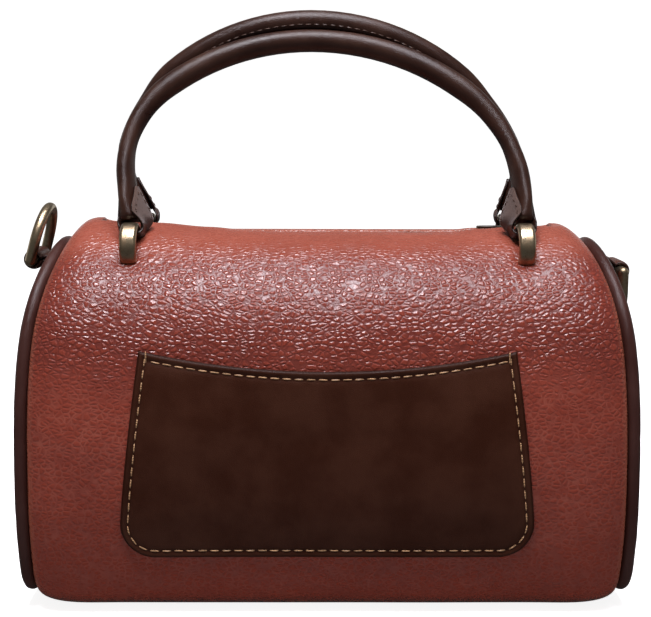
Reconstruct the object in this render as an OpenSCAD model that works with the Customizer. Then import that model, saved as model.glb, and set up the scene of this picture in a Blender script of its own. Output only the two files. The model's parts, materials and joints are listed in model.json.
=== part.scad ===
// Barrel bag: a rounded leather body between two end panels, with a zip along the top,
// a slip pocket on the front, two rolled handles on brass rings and a strap ring at each end.
// X runs along the bag, Y from front to back, Z up. The origin is under the middle of the bag,
// on the surface that it stands on.

/* [Body] */
// Length of the bag between its two end seams
body_len = 248; // [220:1:300]
// Height of the leather body
body_h = 156; // [140:1:190]
// Depth of the body at its belly, the widest level
body_d = 128; // [120:1:150]
// How far each side draws in from the belly to the rounded top
side_taper = 6; // [2:0.5:12]
// Height of the belly
belly_z = 48; // [42:1:60]
// Radius of the front and back below the belly
lower_r = 124; // [80:1:160]
// Radius of the edge where the bottom starts
corner_r = 21; // [14:1:28]
// Thickness of the padded leather wall
wall = 2.4; // [1.6:0.1:3]
// How far each end leans in at the top
top_lean = 14; // [4:1:18]
// How far each end leans in at the bottom
bottom_lean = 1; // [0:0.5:6]
// Length of the rounded rim beside each end seam
rim_len = 12; // [8:1:20]
// How far the rounded rim drops to the seam
rim_drop = 7; // [4:0.5:9]

/* [End panels and binding] */
// Thickness of the end panel
panel_t = 2.2; // [1.6:0.1:3]
// Thickness of the stiffener behind the end panel
stiffener_t = 1.2; // [0.8:0.1:2]
// Width of the stiffener's margin inside the end panel's edge
stiffener_margin = 2; // [1:0.5:6]
// Radius of the rolled binding
binding_r = 2.8; // [2.2:0.1:3.4]

/* [Lining and base board] */
// Thickness of the lining
lining_t = 0.8; // [0.5:0.1:1.2]
// Thickness of the base board
board_t = 1.6; // [1:0.1:3]
// Space between the base board's ends and the rounded rims
board_margin = 6; // [2:1:20]

/* [Slip pocket] */
// Width of the pocket at its mouth
pocket_top_w = 151; // [110:1:170]
// Width of the pocket near its bottom
pocket_bottom_w = 166; // [130:1:180]
// Height of the pocket's bottom edge
pocket_z = 27; // [20:1:34]
// Height of the pocket from its bottom edge to its upper corners
pocket_h = 83; // [60:1:92]
// How far the mouth dips in the middle
pocket_dip = 8; // [2:1:14]
// Radius of the pocket's lower corners
pocket_corner_r = 14; // [6:1:20]
// Thickness of the pocket leather
pocket_t = 1.8; // [1:0.1:2.6]

/* [Zip] */
// Distance from the opening's ends to the rounded rims
zip_slot_margin = 1; // [1:1:16]
// Width of the opening in the leather
zip_slot_w = 16; // [14:0.5:20]
// Distance from one tape's outer edge to the other's
zip_tape_w = 26; // [24:1:28]
// Thickness of the tape
zip_tape_t = 0.9; // [0.5:0.1:1.1]
// Length of bare tape past each end of the teeth
zip_bare_len = 8; // [4:1:20]
// Extra length of bare tape at the open end, where the pull comes to lie
zip_open_room = 6; // [5:1:14]
// Width of the closed row of teeth
zip_chain_w = 6.8; // [6:0.1:7.4]
// Height of a tooth
zip_tooth_h = 2.3; // [1.8:0.1:2.6]
// Distance from one tooth to the next
zip_pitch = 2.6; // [2.2:0.1:3.5]
// Length of the slider
slider_len = 11; // [9:0.5:13]
// Thickness of the slider's plates
slider_plate_t = 1.1; // [0.9:0.1:1.4]
// Length of the pull from its pin
pull_len = 18; // [14:1:22]
// Width of the pull
pull_w = 7; // [6:0.5:8]
// Thickness of the pull
pull_t = 1.4; // [1.1:0.1:1.6]

/* [Handle rings] */
// Distance from each handle ring's middle to the rounded rim beside it
ring_margin = 16; // [14:1:26]
// Distance from the zip tape's edge to each handle ring
ring_gap = 5; // [1:0.1:6]
// Radius to the middle of the ring's bar
ring_r = 8.5; // [8.5:0.1:10]
// Thickness of the ring's bar
ring_bar_t = 3.2; // [2.6:0.1:3.4]
// Width of the ring's bar
ring_bar_w = 7; // [5:0.5:9]
// Length of the leather strip that holds the ring inside
anchor_len = 26; // [20:1:28]
// Width of that strip
anchor_w = 8.4; // [6:0.2:9]
// Thickness of that strip
anchor_t = 1.1; // [0.8:0.1:1.2]

/* [Handles] */
// Distance from the rings' centres to the middle of the handle's arch
handle_rise = 96; // [92:0.5:120]
// Diameter of the rolled handle
handle_d = 9.6; // [8:0.2:11]
// Diameter of the cord inside the handle
core_d = 6.4; // [4:0.2:7]
// How far the highest point of the arch lies from the middle, to the left
arch_shift = 7; // [0:0.5:12]
// How far the front handle's highest point lies behind the middle of the bag
front_top_y = 13; // [6:0.5:16]
// Gap between the handles where they lean on each other
handle_gap = 0.45; // [0.3:0.05:2]
// Thickness of the flat end above the ring
blade_t = 5.2; // [4:0.1:7]
// Width of the flat end at its widest
blade_w = 13; // [10:0.5:15]
// Thickness of the leather looped round the ring
loop_t = 1.5; // [1:0.1:1.7]

/* [Strap rings and tabs] */
// Inner width of a strap ring
d_ring_w = 25.4; // [23:0.2:30]
// Distance from the straight bar's centre to the far end of a strap ring
d_ring_h = 22.5; // [20:0.5:30]
// Diameter of the strap ring's bar
d_bar_d = 4.6; // [3:0.1:5]
// Width of the strap tab
tab_w = 20; // [14:1:21]
// Thickness of the strap tab's leather
tab_t = 1.8; // [1:0.1:2]
// Distance that the tab's loop stands out from the end panel
tab_reach = 13; // [13:0.5:20]
// Drop from the seam's top to the centre of the left tab's loop
left_tab_drop = 6.5; // [5:0.5:12]
// Drop from the seam's top to the centre of the right tab's loop, which sags under its ring
right_tab_drop = 11; // [5:0.5:12]
// Length of the tab sewn down on the end panel
tab_patch_len = 18; // [12:1:26]
// Angle of the left ring from upright, leaning over the bag
left_ring_lean = 15; // [10:1:32]

/* [Hidden] */
$fn = 48;

// Gap between pieces that are sewn, glued or laid together
fit_gap = 0.15;
// Gap round a bar that turns or slides in a loop
turn_gap = 0.25;
// How far a cut runs past what it cuts
overrun = 10;

// Colours
rust_leather = "#8a4538";
brown_leather = "#3b1d18";
antique_brass = "#a08a55";
lining_cloth = "#b79a72";
board_grey = "#6d655c";
tape_brown = "#4a2b22";

// The body's outline is a chain of arcs on the front half, mirrored for the rear half. A place on it
// is named by the angle of its outward normal: 0 faces front, 90 is the top and -90 the bottom.
top_r = body_d/2 - side_taper;
top_z = body_h - top_r;
side_angle = 2*atan(side_taper/(top_z - belly_z));
side_r = top_r + (top_z - belly_z)/sin(side_angle);
lower_angle = asin((belly_z - corner_r)/(lower_r - corner_r));

function normal(angle) = [-cos(angle), sin(angle)];
top_centre = [0, top_z];
side_centre = top_centre - (side_r - top_r)*normal(side_angle);
lower_centre = [lower_r - body_d/2, belly_z];
corner_centre = lower_centre + (lower_r - corner_r)*normal(-lower_angle);

// Point of the outline at a normal angle, moved inward by an inset
function outline_point(angle, inset) =
    angle >= side_angle ? top_centre + (top_r - inset)*normal(angle)
    : angle >= 0 ? side_centre + (side_r - inset)*normal(angle)
    : angle >= -lower_angle ? lower_centre + (lower_r - inset)*normal(angle)
    : corner_centre + (corner_r - inset)*normal(angle);

// Normal angles of the outline's points, from the bottom to the top
top_steps = 9;
side_steps = 3;
lower_steps = 4;
corner_steps = 4;
outline_angles = [
    for (i = [0:corner_steps - 1]) -90 + (90 - lower_angle)*i/corner_steps,
    for (i = [0:lower_steps - 1]) -lower_angle*(1 - i/lower_steps),
    for (i = [0:side_steps - 1]) side_angle*i/side_steps,
    for (i = [0:top_steps]) side_angle + (90 - side_angle)*i/top_steps
];
half_count = len(outline_angles);

// The flats between the top's points lie nearer its centre than the arc, by this share of the radius
top_flat_share = cos((90 - side_angle)/top_steps/2);

function mirror_y(p) = [-p[0], p[1]];
function outline(inset) = [
    for (a = outline_angles) outline_point(a, inset),
    for (i = [half_count - 2:-1:0]) mirror_y(outline_point(outline_angles[i], inset))
];

// Distance of the end seam from the middle of the bag at height z
top_lean_power = 4;
bottom_lean_power = 2;
function end_x(z) = body_len/2 - (z > belly_z
    ? top_lean*pow((z - belly_z)/(body_h - belly_z), top_lean_power)
    : bottom_lean*pow((belly_z - z)/belly_z, bottom_lean_power));

// The rounded rims start where the straight part of the body ends, and drop late, like a superellipse
rim_x = end_x(body_h) - rim_len;
rim_power = 2.6;
rim_shares = [0, 0.45, 0.75, 0.9, 0.97, 1];
function rim_inset(share) = rim_drop*(1 - pow(1 - pow(share, rim_power), 1/rim_power));
function rim_ring(share, inset, back) = [
    for (p = outline(inset + rim_inset(share)))
        [rim_x + (end_x(p[1]) - back - rim_x)*share, p[0], p[1]]
];
edge_back = binding_r + fit_gap;
seam_inset = rim_drop + wall/2;
panel_inset = seam_inset + binding_r + fit_gap;
stiffener_inset = panel_inset + stiffener_margin;
stiffener_back = panel_t/2 + fit_gap;
lining_inset = wall + fit_gap;
lining_back = max(edge_back + lining_t, stiffener_back + stiffener_t + fit_gap);

function reversed(list) = [for (i = [len(list) - 1:-1:0]) list[i]];
function mirror_x(ring) = [for (p = ring) [-p[0], p[1], p[2]]];

// Extrusions of an outline drawn in the YZ plane and in the XZ plane
module along_x(length) {
    rotate([90, 0, 90])
        linear_extrude(length, center = true)
            children();
}

module along_y(length) {
    rotate([90, 0, 0])
        linear_extrude(length, center = true)
            children();
}

// Closed tube of rings, each ring a closed loop of as many points as the next
module ring_skin(rings) {
    ring_count = len(rings);
    point_count = len(rings[0]);
    polyhedron(
        points = [for (ring = rings) each ring],
        faces = [
            for (i = [0:ring_count - 1], j = [0:point_count - 1])
                let (next_i = (i + 1)%ring_count, next_j = (j + 1)%point_count)
                each [
                    [i*point_count + j, next_i*point_count + next_j, i*point_count + next_j],
                    [i*point_count + j, next_i*point_count + j, next_i*point_count + next_j]
                ]
        ]
    );
}

// Whole barrel with rounded rims and closed ends. The caps join points of equal height.
module barrel(inset, back) {
    right_rings = [for (s = rim_shares) rim_ring(s, inset, back)];
    rings = concat(reversed([for (r = right_rings) mirror_x(r)]), right_rings);
    ring_count = len(rings);
    n = len(rings[0]);
    last = (ring_count - 1)*n;
    polyhedron(
        points = [for (ring = rings) each ring],
        faces = concat(
            [for (i = [0:ring_count - 2], j = [0:n - 1])
                let (a = i*n + j, b = i*n + (j + 1)%n)
                each [[a, b, b + n], [a, b + n, a + n]]],
            [for (j = [0:half_count - 3]) each [
                [j, n - 2 - j, j + 1],
                [j, n - 1 - j, n - 2 - j],
                [last + j, last + j + 1, last + n - 2 - j],
                [last + j, last + n - 2 - j, last + n - 1 - j]
            ]],
            [[half_count - 2, half_count, half_count - 1],
             [last + half_count - 2, last + half_count - 1, last + half_count]]
        )
    );
}

// Slab that follows the leaning end, between two distances inward from the seam
end_steps = 24;
end_heights = [for (i = [0:end_steps]) body_h*i/end_steps];
module end_slab(outer_back, inner_back) {
    along_y(body_d)
        polygon(concat(
            [for (z = end_heights) [end_x(z) - outer_back, z]],
            [for (z = reversed(end_heights)) [end_x(z) - inner_back, z]]
        ));
}

module end_plate(inset, outer_back, inner_back) {
    intersection() {
        along_x(body_len + 2*panel_t)
            polygon(outline(inset));
        end_slab(outer_back, inner_back);
    }
}

module on_left() {
    mirror([1, 0, 0])
        children();
}

// The handle rings sit on the surface of the rounded top, just outside the zip tapes
ring_x = rim_x - ring_margin;
ring_y = zip_tape_w/2 + ring_gap + ring_r + ring_bar_t/2;
ring_angle = asin(ring_y/top_r);
ring_z = top_z + top_r*cos(ring_angle);

// Moves to one ring's centre: side is -1 for left and 1 for right, depth is -1 for front and 1 for rear
module at_ring(side, depth) {
    translate([side*ring_x, depth*ring_y, ring_z])
        rotate([-depth*ring_angle, 0, 0])
            children();
}

// Oval bar section, drawn round the origin, as wide as the ring's bar and grown by a margin
module bar_section(margin) {
    half_t = ring_bar_t/2;
    straight = ring_bar_w/2 - half_t;
    square([ring_bar_t + 2*margin, 2*straight], center = true);
    for (end = [-1, 1]) {
        translate([0, end*straight])
            circle(half_t + margin);
    }
}

// Sweeps a section round the X axis, from an angle off straight up towards the back
module around_x(start, sweep) {
    rotate([0, -90, 0])
        rotate([0, 0, start])
            rotate_extrude(angle = sweep)
                children();
}

// Two slits for each ring, where its bar passes down through the leather and the lining. They are
// as deep as the lining's inner face lies at their outer ends, below the plane that touches the top.
ring_sides = [[-1, -1], [1, -1], [-1, 1], [1, 1]];
inner_top_r = (top_r - lining_inset - lining_t)*top_flat_share;
slit_outer = ring_r + ring_bar_t/2 + turn_gap;
slit_depth = top_r - sqrt(inner_top_r*inner_top_r - slit_outer*slit_outer) + fit_gap;
slit_inner = sqrt(pow(ring_r - ring_bar_t/2, 2) - slit_depth*slit_depth) - turn_gap;
module ring_slits() {
    slit_w = ring_bar_w + 2*turn_gap;
    for (s = ring_sides, end = [-1, 1]) {
        at_ring(s[0], s[1])
            translate([0, end*(slit_inner + slit_outer)/2, 0])
                cube([slit_w, slit_outer - slit_inner, 2*slit_depth], center = true);
    }
}

zip_slot_len = 2*(rim_x - zip_slot_margin);
zip_chain_right = zip_slot_len/2 - zip_bare_len;
zip_chain_left = zip_open_room - zip_chain_right;
module zip_slot(width) {
    translate([0, 0, body_h])
        cube([zip_slot_len, width, 2*overrun], center = true);
}

module body_wrap() {
    color(rust_leather)
        difference() {
            union() {
                along_x(2*rim_x)
                    difference() {
                        polygon(outline(0));
                        polygon(outline(wall));
                    }
                rim_shell();
                on_left()
                    rim_shell();
            }
            zip_slot(zip_slot_w);
            ring_slits();
        }
}

module rim_shell() {
    ring_skin(concat(
        [for (s = rim_shares) rim_ring(s, wall, edge_back)],
        [for (s = reversed(rim_shares)) rim_ring(s, 0, edge_back)]
    ));
}

module end_panel_right() {
    color(rust_leather)
        end_plate(panel_inset, -panel_t/2, panel_t/2);
}

module end_panel_left() {
    on_left()
        end_panel_right();
}

module end_stiffener_right() {
    color(board_grey)
        end_plate(stiffener_inset, stiffener_back, stiffener_back + stiffener_t);
}

module end_stiffener_left() {
    on_left()
        end_stiffener_right();
}

// Rolled welt along the end seam, with a round section at every point of the outline
binding_sides = 8;
module binding_right() {
    centres = outline(seam_inset);
    outers = outline(seam_inset - binding_r);
    color(brown_leather)
        ring_skin([
            for (i = [0:len(centres) - 1])
                let (c = centres[i], out = outers[i] - c)
                [for (k = [0:binding_sides - 1])
                    let (a = 360*k/binding_sides)
                    [end_x(c[1]) + binding_r*sin(a), c[0] + out[0]*cos(a), c[1] + out[1]*cos(a)]]
        ]);
}

module binding_left() {
    on_left()
        binding_right();
}

module lining() {
    color(lining_cloth)
        difference() {
            barrel(lining_inset, lining_back);
            barrel(lining_inset + lining_t, lining_back + lining_t);
            zip_slot(zip_tape_w + 2*fit_gap);
            ring_slits();
        }
}

module base_board() {
    flat_w = 2*abs(corner_centre[0]);
    board_z = lining_inset + lining_t + fit_gap;
    color(board_grey)
        translate([board_margin - rim_x, -flat_w/2, board_z])
            cube([2*(rim_x - board_margin), flat_w, board_t]);
}

// Pocket outline in the XZ plane: a dipped mouth, sides that spread and rounded lower corners
pocket_steps = 8;
module pocket_outline() {
    top = pocket_z + pocket_h;
    mouth = [for (i = [-pocket_steps:pocket_steps])
        let (u = i/pocket_steps)
        [u*pocket_top_w/2, top - pocket_dip*(1 - u*u)]];
    corner = [for (i = [0:pocket_steps])
        let (a = 90*i/pocket_steps)
        [pocket_bottom_w/2 - pocket_corner_r*(1 - cos(a)), pocket_z + pocket_corner_r*(1 - sin(a))]];
    polygon(concat(mouth, corner, [for (p = reversed(corner)) [-p[0], p[1]]]));
}

module pocket_panel() {
    color(brown_leather)
        intersection() {
            along_x(body_len)
                difference() {
                    polygon(outline(-fit_gap - pocket_t));
                    polygon(outline(-fit_gap));
                }
            translate([0, -body_d/2, 0])
                along_y(body_d)
                    pocket_outline();
        }
}

// The tape lies under the leather beside the slot, where the rounded top leaves least room
zip_inner_r = (top_r - wall)*top_flat_share - fit_gap;
zip_tape_top = top_z + sqrt(zip_inner_r*zip_inner_r - zip_tape_w*zip_tape_w/4);
zip_mid_z = zip_tape_top - zip_tape_t/2;
zip_post_w = 0.9;
zip_row_gap = zip_post_w/2 + turn_gap;

module zip_tape_rear() {
    inner_y = zip_chain_w/2 + fit_gap;
    color(tape_brown)
        translate([-zip_slot_len/2, inner_y, zip_tape_top - zip_tape_t])
            cube([zip_slot_len, zip_tape_w/2 - inner_y, zip_tape_t]);
}

module zip_tape_front() {
    mirror([0, 1, 0])
        zip_tape_rear();
}

// One row of teeth on its bead, as a comb with its teeth towards the middle
tooth_share = 0.46;
bead_w = 1;
module zip_comb(offset_share) {
    tooth_count = floor((zip_chain_right - zip_chain_left)/zip_pitch) - 1;
    outer_y = zip_chain_w/2;
    comb = [for (i = [0:tooth_count - 1])
        let (x = zip_chain_left + (i + offset_share)*zip_pitch)
        each [
            [x, outer_y - bead_w],
            [x, zip_row_gap],
            [x + tooth_share*zip_pitch, zip_row_gap],
            [x + tooth_share*zip_pitch, outer_y - bead_w]
        ]];
    translate([0, 0, zip_mid_z - zip_tooth_h/2])
        linear_extrude(zip_tooth_h)
            polygon(concat(
                comb,
                [[zip_chain_right, outer_y - bead_w], [zip_chain_right, outer_y]],
                [[zip_chain_left, outer_y], [zip_chain_left, outer_y - bead_w]]
            ));
}

module zip_teeth_rear() {
    rear_offset_share = 0.75;
    color(antique_brass)
        zip_comb(rear_offset_share);
}

module zip_teeth_front() {
    front_offset_share = 0.25;
    color(antique_brass)
        mirror([0, 1, 0])
            zip_comb(front_offset_share);
}

// A block across both rows at each end of the teeth
stop_len = 2.4;
module zip_stops() {
    color(antique_brass)
        for (x = [zip_chain_left - fit_gap - stop_len/2, zip_chain_right + fit_gap + stop_len/2]) {
            translate([x, 0, zip_mid_z])
                cube([stop_len, zip_chain_w, zip_tooth_h], center = true);
        }
}

// Slider: two plates joined by a post that runs between the rows, with lips beside the teeth
slider_x = zip_chain_right - slider_len/2 - turn_gap;
lip_t = 0.8;
slider_w = zip_chain_w + 2*(turn_gap + lip_t);
tunnel_h = zip_tooth_h + 2*turn_gap;
tape_room = zip_tape_t + 2*turn_gap;
slider_h = tunnel_h + 2*slider_plate_t;
post_len = 2.4;
pull_pin_r = 0.8;
bridge_len = 4.4;
bridge_w = 2.2;
pull_cheek_w = 1.3;
pull_z = zip_mid_z + slider_h/2 + pull_t/2 + turn_gap;

module zip_slider() {
    color(antique_brass)
        translate([slider_x, 0, zip_mid_z]) {
            difference() {
                cube([slider_len, slider_w, slider_h], center = true);
                cube([slider_len + overrun, slider_w - 2*lip_t, tunnel_h], center = true);
                cube([slider_len + overrun, slider_w + overrun, tape_room], center = true);
            }
            translate([slider_len/2 - post_len/2, 0, 0])
                cube([post_len, zip_post_w, slider_h], center = true);
            pull_bridge();
        }
}

// Ear on top of the slider with a hole across it for the pull's pin
module pull_bridge() {
    ear_r = bridge_len/2;
    rise = pull_z - zip_mid_z;
    along_y(bridge_w)
        difference() {
            union() {
                translate([0, rise])
                    circle(ear_r);
                translate([-ear_r, slider_h/2 - slider_plate_t/2])
                    square([2*ear_r, rise - slider_h/2 + slider_plate_t/2]);
            }
            translate([0, rise])
                circle(pull_pin_r + turn_gap);
        }
}

module zip_pull() {
    cheek_y = bridge_w/2 + turn_gap;
    neck_x = bridge_len/2 + turn_gap + pull_cheek_w;
    tip_r = pull_w/2;
    color(antique_brass)
        translate([slider_x, 0, pull_z]) {
            along_y(2*(cheek_y + pull_cheek_w))
                circle(pull_pin_r);
            translate([0, 0, -pull_t/2]) {
                for (side = [-1, 1]) {
                    translate([-neck_x, side*(cheek_y + pull_cheek_w/2) - pull_cheek_w/2, 0])
                        cube([neck_x + pull_t/2, pull_cheek_w, pull_t]);
                }
                translate([tip_r - pull_len, -pull_w/2, 0])
                    cube([pull_len - tip_r - neck_x + pull_cheek_w, pull_w, pull_t]);
                translate([tip_r - pull_len, 0, 0])
                    cylinder(pull_t, tip_r, tip_r);
            }
        }
}

module handle_ring(side, depth) {
    color(antique_brass)
        at_ring(side, depth)
            around_x(0, 360)
                translate([ring_r, 0])
                    bar_section(0);
}

module handle_ring_front_left() {
    handle_ring(-1, -1);
}

module handle_ring_front_right() {
    handle_ring(1, -1);
}

module handle_ring_rear_left() {
    handle_ring(-1, 1);
}

module handle_ring_rear_right() {
    handle_ring(1, 1);
}

// Leather strip that passes through the ring under the lining. It lies flat, so its long edges
// settle how deep it lies below the plane that touches the top.
anchor_depth = top_r - sqrt(inner_top_r*inner_top_r - anchor_w*anchor_w/4) + fit_gap;
module ring_anchor(side, depth) {
    color(brown_leather)
        at_ring(side, depth)
            translate([-anchor_len/2, -anchor_w/2, -anchor_depth - anchor_t])
                cube([anchor_len, anchor_w, anchor_t]);
}

module ring_anchor_front_left() {
    ring_anchor(-1, -1);
}

module ring_anchor_front_right() {
    ring_anchor(1, -1);
}

module ring_anchor_rear_left() {
    ring_anchor(-1, 1);
}

module ring_anchor_rear_right() {
    ring_anchor(1, 1);
}

// The handle's arch stands on the rings' centres. Each half is a straight leg, a tight bend and a
// wide crown that meets the other half level. Angles along it are from upright.
leg_start = 30;
left_leg_angle = -3;
left_bend_angle = 52;
left_bend_r = 34;
right_leg_angle = 7;
right_bend_angle = 52;
right_bend_r = 44;
bend_steps = 7;
crown_steps = 5;

// Length of the leg of a half that spans w to the side and h up, and radius of its crown
function leg_len(w, h, r, a0, a1) =
    let (k = (1 - sin(a1))/cos(a1))
    (h - r*(sin(a1) - sin(a0)) - k*(w - r*(cos(a0) - cos(a1))))/(cos(a0) - k*sin(a0));
function crown_r(w, r, a0, a1, leg) = (w - leg*sin(a0) - r*(cos(a0) - cos(a1)))/cos(a1);

// Places along the left half of an arch, from its foot to just before its top: x, z and angle
function half_arch(w, rise, start, r, a0, a1) =
    let (
        leg = leg_len(w, rise - leg_start, r, a0, a1),
        wide_r = crown_r(w, r, a0, a1, leg),
        knee = [-w, leg_start] + leg*[sin(a0), cos(a0)],
        bend_centre = knee + r*[cos(a0), -sin(a0)]
    )
    concat(
        [[-w + (start - leg_start)*tan(a0), start, a0]],
        [for (i = [0:bend_steps])
            let (a = a0 + (a1 - a0)*i/bend_steps)
            [bend_centre[0] - r*cos(a), bend_centre[1] + r*sin(a), a]],
        [for (i = [1:crown_steps - 1])
            let (a = a1 + (90 - a1)*i/crown_steps)
            [-wide_r*cos(a), rise - wide_r*(1 - sin(a)), a]]
    );

function arch_path(start) =
    let (
        left = half_arch(ring_x - arch_shift, handle_rise, start,
            left_bend_r, left_leg_angle, left_bend_angle),
        right = half_arch(ring_x + arch_shift, handle_rise, start,
            right_bend_r, right_leg_angle, right_bend_angle)
    )
    concat(
        [for (p = left) [p[0] - arch_shift, p[1], p[2]]],
        [[-arch_shift, handle_rise, 90]],
        [for (p = reversed(right)) [-p[0] - arch_shift, p[1], 180 - p[2]]]
    );

// Rings of a round tube along the arch
tube_sides = 14;
function arch_rings(tube_r, start) = [
    for (p = arch_path(start))
        [for (k = [0:tube_sides - 1])
            let (a = 360*k/tube_sides)
            [p[0] + tube_r*cos(a)*cos(p[2]), tube_r*sin(a), p[1] - tube_r*cos(a)*sin(p[2])]]
];

// Flat leather end: looped round the ring's bar, then two layers that widen and join the rolled part
loop_half_angle = 20;
blade_top = 37;
blade_wide_z = 22;
module handle_end() {
    loop_outer = ring_r + ring_bar_t/2 + turn_gap + loop_t;
    loop_top = ring_r + ring_bar_t/2 + turn_gap;
    foot_w = 2*loop_outer*sin(loop_half_angle);
    around_x(-loop_half_angle, 2*loop_half_angle)
        translate([ring_r, 0])
            difference() {
                bar_section(turn_gap + loop_t);
                bar_section(turn_gap);
            }
    along_x(blade_t)
        polygon([
            [-foot_w/2, loop_top + loop_t/2], [foot_w/2, loop_top + loop_t/2],
            [blade_w/2, blade_wide_z], [handle_d/2, blade_top],
            [-handle_d/2, blade_top], [-blade_w/2, blade_wide_z]
        ]);
}

module handle_leather() {
    color(brown_leather)
        union() {
            ring_skin(concat(
                arch_rings(handle_d/2, leg_start),
                reversed(arch_rings(core_d/2 + fit_gap, leg_start))
            ));
            for (side = [-1, 1]) {
                translate([side*ring_x, 0, 0])
                    handle_end();
            }
        }
}

// The cord starts just above the flat ends
core_start = blade_top + fit_gap + core_d/2*sin(right_leg_angle);
module handle_core() {
    rings = arch_rings(core_d/2, core_start);
    n = tube_sides;
    last = (len(rings) - 1)*n;
    color(tape_brown)
        polyhedron(
            points = [for (ring = rings) each ring],
            faces = concat(
                [for (i = [0:len(rings) - 2], j = [0:n - 1])
                    let (a = i*n + j, b = i*n + (j + 1)%n)
                    each [[a, b + n, b], [a, a + n, b + n]]],
                [[for (j = [0:n - 1]) j]],
                [[for (j = [n - 1:-1:0]) last + j]]
            )
        );
}

// The front handle leans back from upright, and the rear one leans forward until it meets it
front_lean = asin((ring_y + front_top_y)/handle_rise);
front_top_h = handle_rise*cos(front_lean);
rear_foot_gap = norm([ring_y - front_top_y, front_top_h]);
lean_to_front = atan2(ring_y - front_top_y, front_top_h);
touch_dist = handle_d + handle_gap;
rear_lean = lean_to_front - acos(
    (handle_rise*handle_rise + rear_foot_gap*rear_foot_gap - touch_dist*touch_dist)
    /(2*handle_rise*rear_foot_gap));

module in_front_pose() {
    translate([0, -ring_y, ring_z])
        rotate([-front_lean, 0, 0])
            children();
}

module in_rear_pose() {
    translate([0, ring_y, ring_z])
        rotate([rear_lean, 0, 0])
            children();
}

module handle_front() {
    in_front_pose()
        handle_leather();
}

module handle_core_front() {
    in_front_pose()
        handle_core();
}

module handle_rear() {
    in_rear_pose()
        handle_leather();
}

module handle_core_rear() {
    in_rear_pose()
        handle_core();
}

// The strap tab is sewn to the top of the end panel and reaches out to its loop
seam_top_z = body_h - seam_inset;
seam_top_x = end_x(seam_top_z);
left_tab_loop = [seam_top_x + tab_reach, seam_top_z - left_tab_drop];
right_tab_loop = [seam_top_x + tab_reach, seam_top_z - right_tab_drop];
tab_loop_r = d_bar_d/2 + turn_gap + tab_t;
binding_under_r = (top_r - seam_inset - binding_r)*top_flat_share - fit_gap;
tab_patch_top = top_z + sqrt(binding_under_r*binding_under_r - tab_w*tab_w/4);
tab_back = -panel_t/2 - fit_gap;
tab_steps = 4;

module strap_tab(loop) {
    heights = [for (i = [0:tab_steps]) tab_patch_top - tab_patch_len*(1 - i/tab_steps)];
    layers_t = 2*tab_t;
    neck_from = [end_x(tab_patch_top) - tab_back + layers_t - tab_t/2, tab_patch_top - layers_t/2];
    neck = loop - neck_from;
    color(brown_leather)
        along_y(tab_w)
            difference() {
                union() {
                    polygon(concat(
                        [for (z = heights) [end_x(z) - tab_back + layers_t, z]],
                        [for (z = reversed(heights)) [end_x(z) - tab_back, z]]
                    ));
                    translate(neck_from)
                        rotate(atan2(neck[1], neck[0]))
                            translate([0, -layers_t/2])
                                square([norm(neck), layers_t]);
                    translate(loop)
                        circle(tab_loop_r);
                }
                translate(loop)
                    circle(tab_loop_r - tab_t);
            }
}

module strap_tab_right() {
    strap_tab(right_tab_loop);
}

module strap_tab_left() {
    on_left()
        strap_tab(left_tab_loop);
}

// Strap ring hanging down from its straight bar, which lies along Y through the origin
module d_ring() {
    bar_r = d_bar_d/2;
    arm_y = d_ring_w/2 + bar_r;
    arm_len = d_ring_h - arm_y;
    along_y(2*arm_y)
        circle(bar_r);
    for (side = [-1, 1]) {
        translate([0, side*arm_y, 0]) {
            sphere(bar_r);
            translate([0, 0, -arm_len])
                cylinder(arm_len, bar_r, bar_r);
        }
    }
    translate([0, 0, -arm_len])
        around_x(90, 180)
            translate([arm_y, 0])
                circle(bar_r);
}

module d_ring_right() {
    color(antique_brass)
        translate([right_tab_loop[0], 0, right_tab_loop[1]])
            d_ring();
}

module d_ring_left() {
    color(antique_brass)
        translate([-left_tab_loop[0], 0, left_tab_loop[1]])
            rotate([0, 180 + left_ring_lean, 0])
                d_ring();
}

body_wrap();
end_panel_left();
end_panel_right();
end_stiffener_left();
end_stiffener_right();
binding_left();
binding_right();
lining();
base_board();
pocket_panel();
zip_tape_front();
zip_tape_rear();
zip_teeth_front();
zip_teeth_rear();
zip_stops();
zip_slider();
zip_pull();
handle_ring_front_left();
handle_ring_front_right();
handle_ring_rear_left();
handle_ring_rear_right();
ring_anchor_front_left();
ring_anchor_front_right();
ring_anchor_rear_left();
ring_anchor_rear_right();
handle_front();
handle_rear();
handle_core_front();
handle_core_rear();
strap_tab_left();
strap_tab_right();
d_ring_left();
d_ring_right();
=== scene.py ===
import json
import math

import bpy
from mathutils import Matrix, Vector, noise


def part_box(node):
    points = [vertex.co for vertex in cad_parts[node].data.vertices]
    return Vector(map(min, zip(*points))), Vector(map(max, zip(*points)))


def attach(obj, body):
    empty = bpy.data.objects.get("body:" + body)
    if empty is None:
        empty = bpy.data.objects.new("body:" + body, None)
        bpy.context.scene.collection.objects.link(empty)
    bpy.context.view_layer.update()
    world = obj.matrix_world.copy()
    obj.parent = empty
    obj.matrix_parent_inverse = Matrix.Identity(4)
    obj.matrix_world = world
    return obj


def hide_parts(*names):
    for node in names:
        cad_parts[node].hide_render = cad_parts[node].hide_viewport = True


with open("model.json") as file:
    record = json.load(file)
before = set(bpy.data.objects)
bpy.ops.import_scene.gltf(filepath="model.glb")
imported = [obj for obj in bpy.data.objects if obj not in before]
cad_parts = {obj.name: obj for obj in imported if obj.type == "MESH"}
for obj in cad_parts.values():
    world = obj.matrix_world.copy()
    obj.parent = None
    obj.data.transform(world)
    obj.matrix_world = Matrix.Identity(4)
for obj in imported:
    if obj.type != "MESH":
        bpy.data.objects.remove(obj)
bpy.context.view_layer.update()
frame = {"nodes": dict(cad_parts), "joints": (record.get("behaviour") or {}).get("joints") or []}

mm = 0.001
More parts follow.
